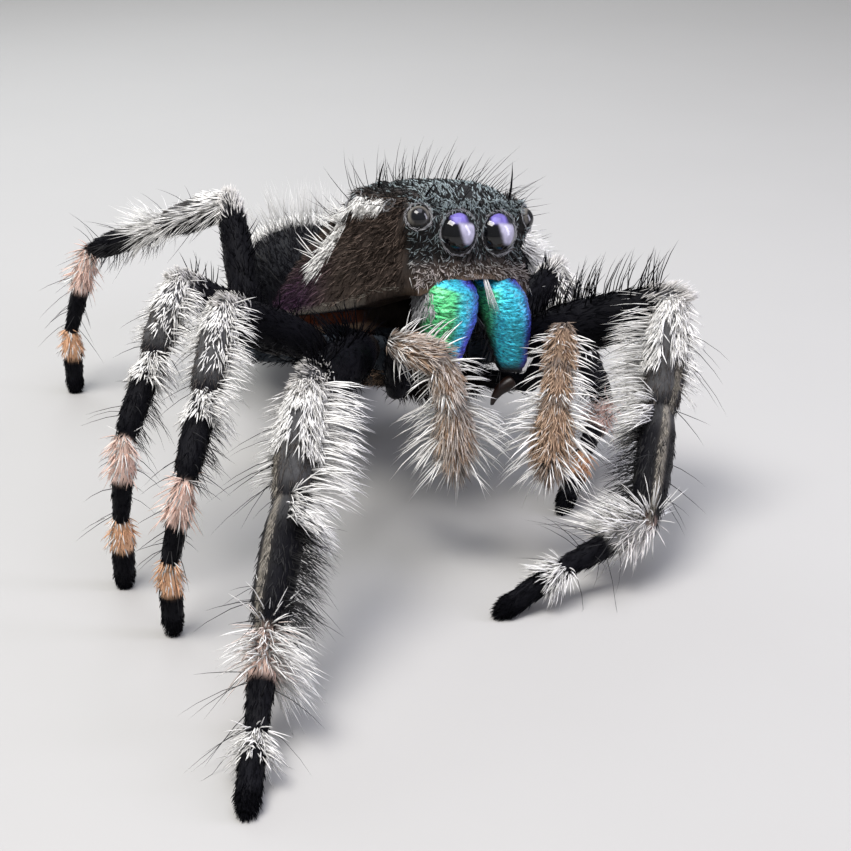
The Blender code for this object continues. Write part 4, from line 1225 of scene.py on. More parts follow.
# Rows of hair on a leg: segment, first and last share, middle angle and half spread of the
# angles, number, length, width against the white hair's, rise, colour. The angle 0 is the
# side that faces the middle of the body, 90 is the top.
LEG_HAIR = (
    ("femur", -0.02, 0.92, 90, 180, 1250, 0.18, 0.55, 13, "black", "1234"),
    ("femur", 0.10, 0.95, -90, 70, 60, 0.30, 0.45, 50, "dark", "1234"),
    ("femur", 0.84, 1.18, 90, 105, 340, 0.22, 0.80, 30, "pale", "1234"),
    ("patella", -0.18, 0.60, 38, 40, 440, 0.34, 0.85, 28, "white", "1"),
    ("patella", -0.18, 0.54, 140, 36, 300, 0.30, 0.85, 26, "white", "1"),
    ("patella", -0.18, 0.20, 90, 24, 90, 0.26, 0.85, 24, "white", "1"),
    ("patella", -0.16, 0.34, 90, 100, 280, 0.32, 0.90, 30, "white", "234"),
    ("patella", 0.25, 0.78, 45, 60, 130, 0.32, 0.85, 26, "white", "23"),
    ("patella", -0.05, 0.95, 0, 24, 190, 0.84, 0.85, 86, "white", "1"),
    ("patella", -0.05, 0.95, 0, 30, 110, 0.70, 0.80, 78, "white", "234"),
    ("patella", 0.0, 0.85, 176, 24, 70, 0.42, 0.75, 64, "white", "1234"),
    ("patella", 0.40, 1.05, 90, 120, 320, 0.14, 0.55, 14, "drab", "1234"),
    ("patella", 0.0, 1.0, -90, 80, 240, 0.18, 0.55, 18, "black", "1234"),
    ("tibia", -0.08, 0.20, 10, 62, 190, 0.64, 0.90, 66, "white", "1"),
    ("tibia", -0.08, 0.30, 90, 150, 330, 0.32, 0.90, 30, "white", "234"),
    ("tibia", -0.05, 0.32, 10, 60, 100, 0.68, 0.80, 66, "white", "234"),
    ("tibia", -0.08, 0.28, 90, 130, 70, 0.85, 0.60, 58, "white", "4"),
    # Leg 1's tibia has dark grey hair rather than black: a painted sheen of its glossy, lit tibia
    ("tibia", 0.0, 1.0, 90, 180, 620, 0.16, 0.50, 12, "dark", "1"),
    ("tibia", 0.05, 1.0, 90, 180, 620, 0.16, 0.50, 12, "black", "234"),
    ("tibia", 0.10, 0.95, -15, 60, 280, 0.66, 0.42, 70, "dark", "1"),
    ("tibia", 0.10, 0.95, -40, 60, 110, 0.50, 0.42, 66, "dark", "234"),
    ("metatarsus", -0.10, 0.42, 90, 180, 280, 0.24, 0.85, 30, "peach", "1234"),
    ("metatarsus", -0.10, 0.38, 90, 150, 90, 0.50, 0.80, 56, "peach", "1234"),
    ("metatarsus", -0.15, 0.42, 30, 100, 210, 0.84, 0.90, 62, "white", "1"),
    ("metatarsus", 0.40, 1.0, 90, 180, 260, 0.14, 0.50, 12, "black", "1234"),
    ("tarsus", -0.08, 0.38, 90, 180, 180, 0.20, 0.85, 30, "ring", "1234"),
    ("tarsus", -0.08, 0.30, 90, 150, 60, 0.34, 0.80, 52, "ring", "234"),
    ("tarsus", -0.08, 0.30, 90, 150, 110, 0.40, 0.80, 52, "white", "1"),
    ("tarsus", 0.34, 1.0, 90, 180, 310, 0.14, 0.55, 12, "black", "1234"),
    ("tarsus", 0.80, 1.12, 90, 180, 320, 0.12, 0.50, 30, "black", "1234"),
)
LEG_HAIR_LENGTH = {1: 1.0, 2: 0.72, 3: 0.68, 4: 0.74}
LEG_HAIR_NUMBER = {1: 1.0, 2: 0.80, 3: 0.76, 4: 0.84}
FEMUR_CREST = {1: (90, 0.74), 2: (30, 0.40), 3: (30, 0.40), 4: (34, 0.42)}
LONG_BRISTLES = 46
# Share of white hairs in the coloured rings
RING_WHITE = 0.35


def dress_leg(name, seed):
    """The coat of one leg."""
    number = int(name[4])
    limb = LEGS[name]
    coat = Coat("coat_" + name, seed)
    draw = coat.random
    inner_left = name.endswith("left")
    total = limb_length(limb)

    def sow(kind, low, high, middle, half_spread, count, length, width, rise, shade, curl=0.25, scatter=14.0,
            mixed=0.0):
        segment = limb[kind]
        n = coat.count(count)
        shade = np.where(draw.random(n)[:, None] < mixed, colour("white") * 0.9, shade)
        share = draw.uniform(low, high, n)
        turn = middle + draw.uniform(-half_spread, half_spread, n)
        if inner_left:
            turn = 180.0 - turn
        roots, outs = segment.surface(share, turn, skin_depth())
        places = unwrap(turn, (segment.travel + share * segment.length) / total)
        coat.grow(roots, outs, segment.along, places, length, width, rise, shade, scatter, curl)

    for kind, low, high, middle, half_spread, count, length, width, rise, word, legs in LEG_HAIR:
        if str(number) not in legs:
            continue
        if word == "ring":
            shade = colour("white") if number == 1 else colour("orange") * 1.2
        elif word == "peach" and number == 1:
            pink = 0.1 if inner_left else 0.5
            shade = colour("peach") * pink + colour("white") * (1 - pink)
        elif word == "pale":
            shade = colour("white") * 0.72 + colour("tan") * 0.08
        elif word == "drab":
            shade = colour("grey") * 0.4 + colour("tan") * 0.06
        elif word == "dark":
            shade = colour("grey") * 0.3
        else:
            shade = colour(word)
        mixed = RING_WHITE if word in ("peach", "ring") else 0.0
        sow(kind, low, high, middle, half_spread, count * LEG_HAIR_NUMBER[number],
            length * LEG_HAIR_LENGTH[number], width, rise, shade, mixed=mixed)
    # Hairs of the painted highlight along the lit side of a front leg's patella and tibia
    if number == 1:
        for kind, middle in SHEEN_BAND.items():
            sow(kind, 0.0, 1.0, middle, SHEEN_BAND_SPREAD, 240, 0.13, 0.50, 14, colour("rim_and_sheen") * 1.3)
    count, length = FEMUR_CREST[number]
    sow("femur", 0.16, 0.96, 90, 34, count, length, 0.72, 70, colour("black"), 0.30, 12.0)
    for kind, share in (("patella", 0.2), ("tibia", 0.4), ("metatarsus", 0.2)):
        length = 0.95 * LEG_HAIR_LENGTH[number]
        sow(kind, share, 1.0, 90, 150, LONG_BRISTLES / 3, length, 0.45, 62, colour("grey") * 0.3, 0.35, 18.0)
    return coat.build("white_hair")


# Rows of hair on a palp, as on a leg
PALP_HAIR = (
    ("femur", 0.10, 1.0, 90, 180, 260, 0.16, 0.50, 12, "black"),
    ("patella", -0.25, 1.05, 90, 180, 640, 0.24, 0.70, 34, "tan"),
    ("patella", 0.0, 1.0, 0, 36, 16, 0.52, 0.95, 80, "white"),
    ("patella", 0.0, 1.0, 180, 36, 16, 0.48, 0.95, 80, "white"),
    ("patella", -0.2, 0.6, 90, 60, 14, 0.34, 0.85, 50, "white"),
    ("tibia", -0.05, 1.05, 90, 180, 460, 0.22, 0.70, 34, "tan"),
    ("tibia", 0.0, 1.0, 0, 34, 20, 0.60, 0.95, 80, "white"),
    ("tibia", 0.0, 1.0, 180, 34, 20, 0.60, 0.95, 80, "white"),
    ("tibia", 0.7, 1.0, 90, 60, 16, 0.26, 0.90, 44, "white"),
    ("tarsus", -0.05, 1.10, 90, 180, 950, 0.29, 0.70, 36, "tan"),
    ("tarsus", 0.0, 0.55, 0, 34, 26, 0.88, 1.05, 78, "white"),
    ("tarsus", 0.0, 0.55, 180, 34, 26, 0.88, 1.05, 78, "white"),
    ("tarsus", 0.45, 1.0, 0, 50, 24, 0.74, 1.00, 56, "white"),
    ("tarsus", 0.45, 1.0, 180, 50, 24, 0.74, 1.00, 56, "white"),
    ("tarsus", 0.80, 1.12, 90, 180, 26, 0.44, 0.90, 36, "white"),
)
# Angle of the side to the left of each palp, where its bristles stand, from that side's zero
PALP_TURN = {"palp_left": -8.0, "palp_right": 66.0}
# Share of pale hairs in the tan of each palp
PALP_PALE = {"palp_left": 0.14, "palp_right": 0.70}


def dress_palp(name, seed):
    """The coat of one palp."""
    limb = PALP_LIMBS[name]
    coat = Coat("coat_" + name, seed)
    draw = coat.random
    total = limb_length(limb)
    for kind, low, high, middle, half_spread, count, length, width, rise, word in PALP_HAIR:
        segment = limb[kind]
        share, turn = coat.pick(count, low, high, -half_spread, half_spread)
        turn = middle + PALP_TURN[name] + turn
        roots, outs = segment.surface(share, turn, skin_depth())
        shade = colour(word)
        if word == "tan":
            pale = draw.random(len(turn))[:, None] < PALP_PALE[name]
            shade = np.where(pale, colour("white") * 0.55 + shade * 0.5, shade)
            joint = np.maximum(smoothstep(0.14, 0.0, share), smoothstep(0.84, 1.0, share))
            shade = blend(shade, colour("grey"), 0.55 * joint)
        places = unwrap(turn, (segment.travel + share * segment.length) / total)
        coat.grow(roots, outs, segment.along, places, length, width, rise, shade, 14.0, 0.34)
    return coat.build("tan_hair")


def head_place(forward, turn):
    """Where a hair of the carapace lies on its unwrap."""
    return spot(turn / 180.0, (forward + 5.4) / 5.7)


def carapace_colours(forward, turn):
    """Markings of the carapace: grey black on top, brown sides, purplish lower rear."""
    side = np.abs(turn - 90.0) / 90.0
    rows = spread(len(forward), colour("grey") * 0.14)
    rows = blend(rows, colour("brown"), smoothstep(0.28, 0.52, side))
    purple = colour("brown") * np.array((0.55, 0.36, 0.85))
    return blend(rows, purple, smoothstep(0.6, 0.95, side) * smoothstep(-1.8, -2.8, forward))


def near_eye(points, margin):
    """Which points lie on or in an eye."""
    hit = np.zeros(len(points), bool)
    for eye in ALL_EYES:
        hit |= np.linalg.norm(points - eye.centre, axis=1) < eye.radius + margin
    return hit


def lay(wanted, outs):
    """A wanted direction, or rows of them, laid flat on the surface."""
    return unit(wanted - outs * np.sum(wanted * outs, axis=-1, keepdims=True))


def shell_roots(margin, forward, turn, *others):
    """Places of the carapace clear of the eyes: points, ways out, forward, turn and the others."""
    roots, outs = carapace_surface(forward, turn)
    keep = ~near_eye(roots, margin)
    return [row[keep] for row in (roots, outs, forward, turn, *others)]


def head_lies(outs, down, back):
    """Directions along the carapace, from shares of down and back."""
    return lay(-UP * np.asarray(down)[..., None] - FORWARD * np.asarray(back)[..., None], outs)


# Hair of the carapace's sides: number, span forward, span of the angles of the left side, length,
# width against the white hair's, rise, scatter, and how far it leans down and back
VELVET = (10500, (-5.1, -0.1), (1.0, 62.0), 0.19, 0.55, 20, 26.0, 0.75, 0.65)
PALE_RIM = (500, (-4.3, -0.2), (0.6, 1.4), 0.11, 0.32, 10, 8.0, 0.1, 1.0)
# Share of light hairs in the velvet, and how bright these and the others are
VELVET_LIGHT = (0.28, 3.6, 0.85)


def dress_head_sides(seed):
    """Short velvet on the sides of the carapace, pointing down and back, and its pale rim."""
    coat = Coat("coat_head_sides", seed)
    draw = coat.random
    for row in (VELVET, PALE_RIM):
        number, span, turns, length, width, rise, scatter, down, back = row
        forward, turn = coat.pick(number, *span, *turns)
        turn = np.where(draw.random(len(turn)) < 0.5, turn, 180.0 - turn)
        roots, outs, forward, turn = shell_roots(0.05, forward, turn)
        shade = colour("rim_and_sheen")
        if row is VELVET:
            share, light, dim = VELVET_LIGHT
            pale = draw.random(len(roots))[:, None]
            shade = carapace_colours(forward, turn) * np.where(pale < share, light, dim)
        coat.grow(roots, outs, head_lies(outs, down, back), head_place(forward, turn), length,
                  width, rise, shade, scatter)
    return coat.build("dark_shell")


# The light scales of the head against the grey
SCALES = np.array((2.1, 2.5, 2.5))
# Scales and bristles on top of the head: number, span forward, span of the angles
TOP_SCALES = (9000, -4.8, 0.05, 50.0, 130.0)
TOP_BRISTLES = (150, -3.2, -0.1, 38.0, 142.0)
BRISTLE_LENGTHS = (0.4, 0.9)
# Strong bristles of the brow: forward, angle over the section and length
BROW_BRISTLES = (
    (-1.75, 121.0, 0.72),
    (-1.90, 68.0, 0.50),
    (-0.30, 62.0, 0.78),
    (-0.45, 118.0, 0.34),
)


def dress_head_top(seed):
    """Grey scales and upright bristles on top of the head."""
    coat = Coat("coat_head_top", seed)
    draw = coat.random
    roots, outs, forward, turn = shell_roots(0.04, *coat.pick(*TOP_SCALES))
    silver = draw.random(len(roots)) < 0.16 + 0.28 * smoothstep(-1.8, -0.5, forward)
    shade = np.where(silver[:, None], SCALES * colour("grey"), colour("grey") * 0.12)
    coat.grow(roots, outs, head_lies(outs, 0.1, 1.0), head_place(forward, turn), 0.10, 0.95, 11, shade, 26.0)
    forward, turn = coat.pick(*TOP_BRISTLES)
    roots, outs = carapace_surface(forward, turn)
    coat.grow(roots, outs, head_lies(outs, 0.0, -0.6), head_place(forward, turn),
              draw.uniform(*BRISTLE_LENGTHS, len(turn)), 0.42, 78, colour("black"), 12.0, 0.3)
    for forward, turn, length in BROW_BRISTLES:
        forward, turn = np.array([forward]), np.array([turn])
        roots, outs = carapace_surface(forward, turn)
        coat.grow(roots, outs, head_lies(outs, -0.6, -0.4), head_place(forward, turn), length,
                  1.7, 75, colour("black"), 2.0, 0.25)
    return coat.build("black_hair")


# Path of the white band of a side: share of its length, forward and angle over the section
SIDE_TUFT_PATH = (
    (0.00, -1.38, 47.0),
    (0.25, -1.80, 46.0),
    (0.45, -2.12, 43.0),
    (0.62, -2.27, 36.0),
    (0.80, -2.42, 26.0),
    (1.00, -2.55, 17.0),
)
# How much more the band leans back at its lower end
SIDE_TUFT_SWEEP = 0.45
# White band of a side, dense then splayed: number, start along it, offset back, length, rise,
# scatter, width against the white hair's and how far the hair leans down and back
SIDE_TUFT = (
    (1350, 0.0, 0.04, 0.28, 9, 9.0, 0.85, 1.0, -0.15),
    (260, 0.2, 0.10, 0.32, 18, 10.0, 0.85, 1.0, -0.05),
    (34, 0.50, 0.16, 0.50, 46, 12.0, 0.90, -0.35, 0.6),
)


def dress_side_tufts(seed):
    """White bands of long hair that run down and back from the rear eyes."""
    coat = Coat("coat_side_tufts", seed)
    draw = coat.random
    path = Profile(SIDE_TUFT_PATH)
    for side in (1, -1):
        for count, low, offset, length, rise, scatter, width, down, back in SIDE_TUFT:
            n = coat.count(count)
            along = draw.uniform(low, 1.0, n)
            forward, turn = path(along)
            forward = forward - offset + draw.normal(0.0, 0.08, n)
            turn = turn + draw.normal(0.0, 2.0, n)
            turn = turn if side == 1 else 180.0 - turn
            roots, outs, forward, turn, along = shell_roots(0.03, forward, turn, along)
            lies = head_lies(outs, down, back + SIDE_TUFT_SWEEP * along)
            coat.grow(roots, outs, lies, head_place(forward, turn), length, width, rise,
                      colour("white"), scatter, 0.3)
    return coat.build("white_hair")


# Hairs of the face, with their span to the left and up, hairs round an eye for each mm of its
# radius, and how wide their ring is
FACE_HAIRS = (4200, -1.24, 1.24, -1.0, 0.6)
RIM_HAIRS = 520
RIM_SPREAD = 0.035
# White wisps of the face: place to the left, spread, number, length, height over the edge
FACE_WISPS = (
    (0.04, 0.03, 16, 0.66, 0.02),
    (-0.80, 0.20, 26, 0.20, 0.26),
    (0.70, 0.25, 20, 0.16, 0.10),
)


# Hair of the chelicerae: side, shares of the length, angles, number, length and brightness
CHELICERA_HAIR = (
    (-1, 0.0, 0.42, 150.0, 215.0, 380, 0.17, 3.6),
    (-1, 0.2, 1.0, -30.0, 20.0, 30, 0.30, 0.8),
    (1, 0.2, 1.0, 185.0, 225.0, 26, 0.34, 0.8),
    (1, 0.0, 0.5, -20.0, 20.0, 80, 0.14, 0.6),
)


def face_place(left, up):
    """Where a hair of the face lies on its unwrap."""
    return spot(left / 3.2 + 0.5, up / 2.4 + 0.6)


def face_points(left, up):
    """Points of the flat face between and under the eyes."""
    return seat_eyes(carapace_point(np.full_like(left, FACE_FRONT), left, up))


def face_surface(left, up):
    """Points of the face and the ways out."""
    step = 0.02
    across = face_points(left + step, up) - face_points(left - step, up)
    rising = face_points(left, up + step) - face_points(left, up - step)
    return face_points(left, up), unit(np.cross(across, rising))


def clypeus_edge(left):
    """Height of the lower edge of the face."""
    return -1.08 + CLYPEUS_ARCH * (1 - (left / 1.36) ** 2)


def grow_eye_rim(coat, eye):
    """A ring of short pale hairs round a lens."""
    n = coat.count(RIM_HAIRS * eye.radius)
    first = unit(np.cross(eye.axis, FORWARD + LEFT * 0.3))
    second = np.cross(eye.axis, first)
    turn = coat.random.uniform(0.0, math.tau, n)
    x, y = np.cos(turn), np.sin(turn)
    ways = first * x[:, None] + second * y[:, None]
    round_it = second * x[:, None] - first * y[:, None]
    reach = eye.radius + coat.random.uniform(0.0, RIM_SPREAD, n)
    roots = eye.centre + ways * reach[:, None] + eye.axis * (eye.seat * eye.radius + EYE_COLLAR)
    places = face_place(eye.place[1] + x * eye.radius, eye.place[2] + y * eye.radius)
    coat.grow(roots, eye.axis, round_it, places, 0.08, 0.45, 5, colour("grey") * 2.4)


def dress_face(seed):
    """Fine hair of the face, rings round the eyes and pale wisps by the chelicerae."""
    coat = Coat("coat_face", seed)
    draw = coat.random
    left, up = coat.pick(*FACE_HAIRS)
    roots, outs = face_surface(left, up)
    keep = ~near_eye(roots, 0.04) & (up > clypeus_edge(left) + 0.04)
    roots, outs, left, up = roots[keep], outs[keep], left[keep], up[keep]
    n = len(roots)
    lies = lay(LEFT * (0.8 * left)[:, None] - UP, outs)
    high = smoothstep(-0.2, 0.3, up)
    low = smoothstep(-0.35, -0.65, up)
    pale = draw.random(n) < 0.30 + 0.34 * high + 0.26 * low
    shade = blend(spread(n, colour("grey") * 0.16), colour("brown") * 1.3, low)
    light = blend(spread(n, SCALES * colour("grey")), colour("tan") * 0.26 + colour("grey") * 2.0, low)
    shade = np.where(pale[:, None], light, shade)
    coat.grow(roots, outs, lies, face_place(left, up), 0.12, 0.72, 14, shade, 40.0)
    for eye in ALL_EYES:
        grow_eye_rim(coat, eye)
    for middle, width, count, length, above in FACE_WISPS:
        n = coat.count(count)
        left = middle + draw.normal(0.0, width, n)
        up = clypeus_edge(left) + above + draw.uniform(-0.04, 0.06, n)
        coat.grow(face_points(left, up), FORWARD, unit(LEFT * 0.30 - UP), face_place(left, up), length,
                  0.40, 10, colour("white"), 5.0, 0.1)
    for side, low, high, first, last, count, length, shade in CHELICERA_HAIR:
        share, turn = coat.pick(count, low, high, first, last)
        roots, outs = chelicera_surface(side, share, turn)
        places = spot(0.5 + side * (0.25 + turn / 1440.0), share)
        coat.grow(roots, outs, -UP, places, length, 0.45, 24, shade * colour("grey"), 18.0)
    return coat.build("white_hair")


# Hairs of each mm of a coxa, then of the underbody and of the fringe behind the mouth with their
# shares of the length and their angles
COXA_HAIRS = 170
UNDER_HAIRS = (3600, 0.0, 1.0, 190.0, 350.0)
MOUTH_HAIRS = (700, 0.0, 0.12, 200.0, 340.0)


def dress_under(seed):
    """Dark hair of the coxae, the waist, the spinnerets and the underbody."""
    coat = Coat("coat_under", seed)
    draw = coat.random
    stretches = [limb["coxa"] for limb in LEGS.values()] + [limb["root"] for limb in PALP_LIMBS.values()]
    stretches += [waist_segment()] + spinnerets()
    for number, segment in enumerate(stretches):
        wanted = COXA_HAIRS * segment.length * segment.half[0] / 0.35
        share, turn = coat.pick(wanted, -0.1, 1.05, 0.0, 360.0)
        roots, outs = segment.surface(share, turn, skin_depth())
        places = spot((number + turn / 360.0) / 20.0, 0.5 * np.clip(share, 0.0, 1.0))
        pale = draw.random(len(turn))[:, None] < 0.15
        shade = np.where(pale, colour("grey") * 0.8, colour("black"))
        coat.grow(roots, outs, segment.along, places, 0.20, 0.5, 24, shade, 20.0)
    share, turn = coat.pick(*UNDER_HAIRS)
    roots, outs = under_surface(share, turn, skin_depth())
    lies = lay(-FORWARD, outs)
    places = spot(turn / 360.0, 0.5 + 0.5 * share)
    shade = np.where(draw.random(len(turn))[:, None] < 0.2, colour("tan") * 0.5, colour("brown"))
    coat.grow(roots, outs, lies, places, 0.18, 0.5, 26, shade, 24.0)
    share, turn = coat.pick(*MOUTH_HAIRS)
    roots, outs = under_surface(share, turn, skin_depth())
    places = spot(turn / 360.0, 0.5 + 0.5 * share)
    ahead = unit(FORWARD * 0.7 - UP * 0.5)
    coat.grow(roots, outs, ahead, places, 0.50, 0.7, 30, colour("brown") * 0.4, 20.0)
    return coat.build("black_hair")


ABDOMEN_HAIRS = 10400
# Length and rise of its black and white hairs
ABDOMEN_BLACK_HAIR = (0.22, 14.0)
ABDOMEN_WHITE_HAIR = (0.36, 32.0)
# Its added hair, the light band first: number, shares of the length, angles, length, width
# against the white hair's, rise and brightness
ABDOMEN_ADDED_HAIR = (
    (1000, 0.48, 0.61, 5.0, 175.0, 0.24, 1.0, 34, 1.0),
    (150, 0.34, 0.62, 55.0, 125.0, 0.95, 0.45, 74, 0.7),
    (120, 0.40, 0.95, 20.0, 160.0, 0.70, 0.45, 60, 0.5),
    (360, 0.10, 0.95, -60.0, 240.0, 0.50, 0.50, 46, 0.06),
)


def dress_abdomen(seed):
    """The coat of the abdomen: black, with white marks and long white hair in front."""
    coat = Coat("coat_abdomen", seed)
    draw = coat.random

    def sow(share, turn, length, width, rise, shade):
        roots, outs = ABDOMEN.surface(share, turn, skin_depth())
        lies = lay(ABDOMEN.along, outs)
        coat.grow(roots, outs, lies, unwrap(turn, share), length, width, rise, shade, 16.0)

    n = coat.count(ABDOMEN_HAIRS)
    share = draw.beta(1.15, 1.1, n) * 0.96 + 0.02
    turn = draw.uniform(-180.0, 180.0, n)
    white = draw.random(n) < abdomen_marks(share, turn)
    shade = np.where(white[:, None], colour("white"), abdomen_colours(share, turn))
    length, rise = np.where(white, np.transpose([ABDOMEN_WHITE_HAIR]), np.transpose([ABDOMEN_BLACK_HAIR]))
    sow(share, turn, length, 0.72, rise, shade)
    for count, low, high, first, last, length, width, rise, shade in ABDOMEN_ADDED_HAIR:
        share, turn = coat.pick(count, low, high, first, last)
        sow(share, turn, length, width, rise, colour("white") * shade)
    return coat.build("black_hair")


def carapace_mesh():
    """A fine carapace whose face is rounded, with a cup and a mound for each eye."""
    columns = 160
    over = np.linspace(0.0, 180.0, 117)
    places = list(np.linspace(CARAPACE[-1][0], ROUND_START, 110))
    places += list(ROUND_START + (FACE_FRONT - ROUND_START) * np.sin(np.linspace(0.02, math.pi / 2, 48)))
    sections = [carapace_ring(place, over, columns, 1.0) for place in places]
    sections += [carapace_ring(FACE_FRONT, over, columns, share) for share in np.linspace(0.98, 0.03, 42)]
    shape = Shape()
    shape.loft(sections)
    points = smooth_points(seat_eyes(np.concatenate(shape.points)), shape.edges(), 1)
    shape.points = [points]
    return shape, points


def carapace_ring(forward, over, columns, inset):
    """One ring of the carapace: over the top, then back along the underside."""
    section = carapace_section(forward)
    top, rim, rim_half = section[:3]
    left, up = over_section(np.radians(over), section)
    back = np.linspace(-1.0, 1.0, columns - len(over) + 2)[1:-1]
    arch = np.clip((forward - ARCH_END) / (ARCH_BACK - ARCH_END), 0.0, 1.0)
    left = np.concatenate((left, back * rim_half))
    up = np.concatenate((up, rim + CLYPEUS_ARCH * arch * (1 - back ** 2)))
    middle = (top + rim) / 2
    return carapace_point(forward, left * inset, middle + (up - middle) * inset)


def eye_colours(eye, outs):
    """Colours of a lens: on the big ones painted reflections of the sky and of a side light, placed by the
    camera's axes; on the others a tan ring, partly a painted reflection.
    """
    if eye.kind == "eye_front_middle":
        _, right, over = view_axes()
        x, y = outs @ right, outs @ over
        inside = smoothstep(0.97, 0.88, np.hypot(x, y))
        # Painted reflections: the sky across the top of the lens and a pale side light down its right, placed
        # by the camera's axes
        painted_pane = ring_mask(x + 0.3 * y, -0.02, 0.72, 0.12) * smoothstep(0.25, 0.42, y) * inside
        painted_crescent = smoothstep(0.18, 0.40, x + 0.30 * y) * ring_mask(y, -0.60, 0.34, 0.10) * inside
        rows = blend(spread(len(outs), colour("black") * 0.5), colour("painted_reflection"), painted_pane)
        return blend(rows, colour("painted_reflection") * 0.5 + colour("white") * 0.40, painted_crescent)
    away = np.degrees(np.arccos(np.clip(outs @ eye.axis, -1.0, 1.0)))
    # Tan ring of pigment round the lens, kept to its upper side towards the animal's right as a painted
    # reflection
    ring = ring_mask(away, 42.0, 68.0, 7.0) * smoothstep(-0.5, 0.3, outs @ unit(UP - LEFT * 0.5))
    share = 0.75 if eye.kind == "eye_front_side" else 0.05
    return blend(spread(len(outs), colour("black")), colour("rim_and_sheen") * 0.8, share * ring)


def ball_mesh(name, eye, columns, rows):
    """The lens of an eye, a closed ball with its colours."""
    turns = np.radians(np.arange(columns) * 360.0 / columns)
    rings = []
    for k in range(1, rows):
        fall = math.pi * k / rows
        aside = LEFT * np.cos(turns)[:, None] + UP * np.sin(turns)[:, None]
        rings.append(eye.centre + (FORWARD * math.cos(fall) + aside * math.sin(fall)) * eye.radius)
    shape = Shape()
    shape.loft(rings)
    mesh = shape.mesh(name)
    outs = unit(np.concatenate(shape.points) - eye.centre)
    add_marking(mesh, eye_colours(eye, outs))
    return mesh


def eye_material(name, roughness):
    """A polished eye whose colour carries painted reflections."""
    made, tree, shader = new_material(name)
    tone, cells = uneven_tone(tree, read(tree, "marking"), object_place(tree), Scale=9000.0)
    tree.link(tone, shader.inputs["Base Color"])
    tree.link(tree.span(cells, 0.3, 0.7, roughness, roughness + 0.03), shader.inputs["Roughness"])
    shader.inputs["IOR"].default_value = 1.5
    return made


def chelicera_surface(side, share, turn):
    """Points of a chelicera at shares of its length and angles round it, and the ways out."""
    half_width, half_depth, forward = CHELICERA_PROFILE(share)
    x, y = np.cos(np.radians(turn)), np.sin(np.radians(turn))
    top, drift, width = CHELICERA_SIDES[side]
    left = top + drift * share + half_width * width * x
    up = CHELICERA_TOP + (CHELICERA_BOTTOM - CHELICERA_TOP) * share
    out = LEFT * (x * half_depth)[..., None] + FORWARD * (y * half_width)[..., None]
    return head(forward + half_depth * y, left, up), unit(out)


def chelicera_colours(side, across, ahead, share):
    """Colours of a chelicera, green on its outer side, then cyan and violet, with painted light on the shaded
    outer side.
    """
    facing = math.radians(CHELICERA_FACING - 90.0)
    seen = across * math.cos(facing) + ahead * math.sin(facing)
    to_cyan, cyan_drift, to_violet, violet_drift = CHELICERA_HUES[side]
    top = smoothstep(0.20, 0.08, share)
    cyan = smoothstep(*to_cyan, seen + cyan_drift * (share - 0.2) + top)
    violet = smoothstep(*to_violet, seen + violet_drift * (share - 0.2) + 0.3 * top)
    rows = blend(spread(len(share), colour("green")), colour("cyan"), cyan)
    rows = blend(rows, colour("violet"), violet)
    # Painted light: the shaded outer side is made brighter
    rows = rows * (1 + CHELICERA_PAINTED_LIGHT[side] * smoothstep(0.3, -0.6, seen))[:, None]
    rows = blend(rows, colour("brown"), smoothstep(0.25, -0.35, ahead) * (seen < 0))
    if side == -1:
        grey = smoothstep(-0.35, -0.75, seen) * smoothstep(0.55, 0.2, share)
        rows = blend(rows, colour("grey") * 1.6, grey)
    return blend(rows, colour("black") * 2.0, smoothstep(0.86, 0.98, share))


def chelicera_mesh(name, side):
    """One chelicera with fine wrinkles across it."""
    turns = np.arange(120) * 3.0
    x, y = np.cos(np.radians(turns)), np.sin(np.radians(turns))
    rings = []
    marks = []
    for share in np.linspace(0.0, 1.0, 130):
        ring, out = chelicera_surface(side, np.full(120, share), turns)
        dent = np.zeros(120)
        for depth, wide, tall in WRINKLES:
            dent += [depth * noise.noise(Vector((a * wide, b * wide, c * tall))) for a, b, c in ring]
        rings.append(ring + out * dent[:, None])
        marks.append(np.stack((x, y, np.full(120, share)), 1))
    shape = Shape()
    shape.loft(rings)
    mesh = shape.mesh(name)
    marks = np.concatenate(marks + [np.array([(0.0, 0.0, 0.0), (0.0, 0.0, 1.0)])])
    add_marking(mesh, chelicera_colours(side, *marks.T))
    return mesh


def chelicera_material(name):
    """Metallic shell with fine wrinkles across, its colour darker in their hollows and lighter on their
    ridges as painted shade and light.
    """
    made, tree, shader = new_material(name)
    place = tree.stretch(object_place(tree), (1.0, 1.0, 2.6))
    # The wrinkle noise gives an uneven tone and, as it also drives the bump, painted shade in the hollows and
    # painted light on the ridges
    tone, wrinkles = uneven_tone(tree, read(tree, "marking"), place, Scale=13000.0, Detail=5.0,
                                 Roughness=0.65, Low=0.35, High=0.65, Dark=0.26, Light=1.60)
    height = tree.node("Bump", {"Strength": 0.8, "Distance": 0.00003, "Height": wrinkles})
    tree.link(tone, shader.inputs["Base Color"])
    tree.link(tree.span(wrinkles, 0.3, 0.7, 0.30, 0.50), shader.inputs["Roughness"])
    tree.link(tree.span(wrinkles, 0.3, 0.7, 0.80, 0.55), shader.inputs["Metallic"])
    tree.link(height.outputs[0], shader.inputs["Normal"])
    shader.inputs["Coat Weight"].default_value = 0.3
    shader.inputs["Coat Roughness"].default_value = 0.2
    return made


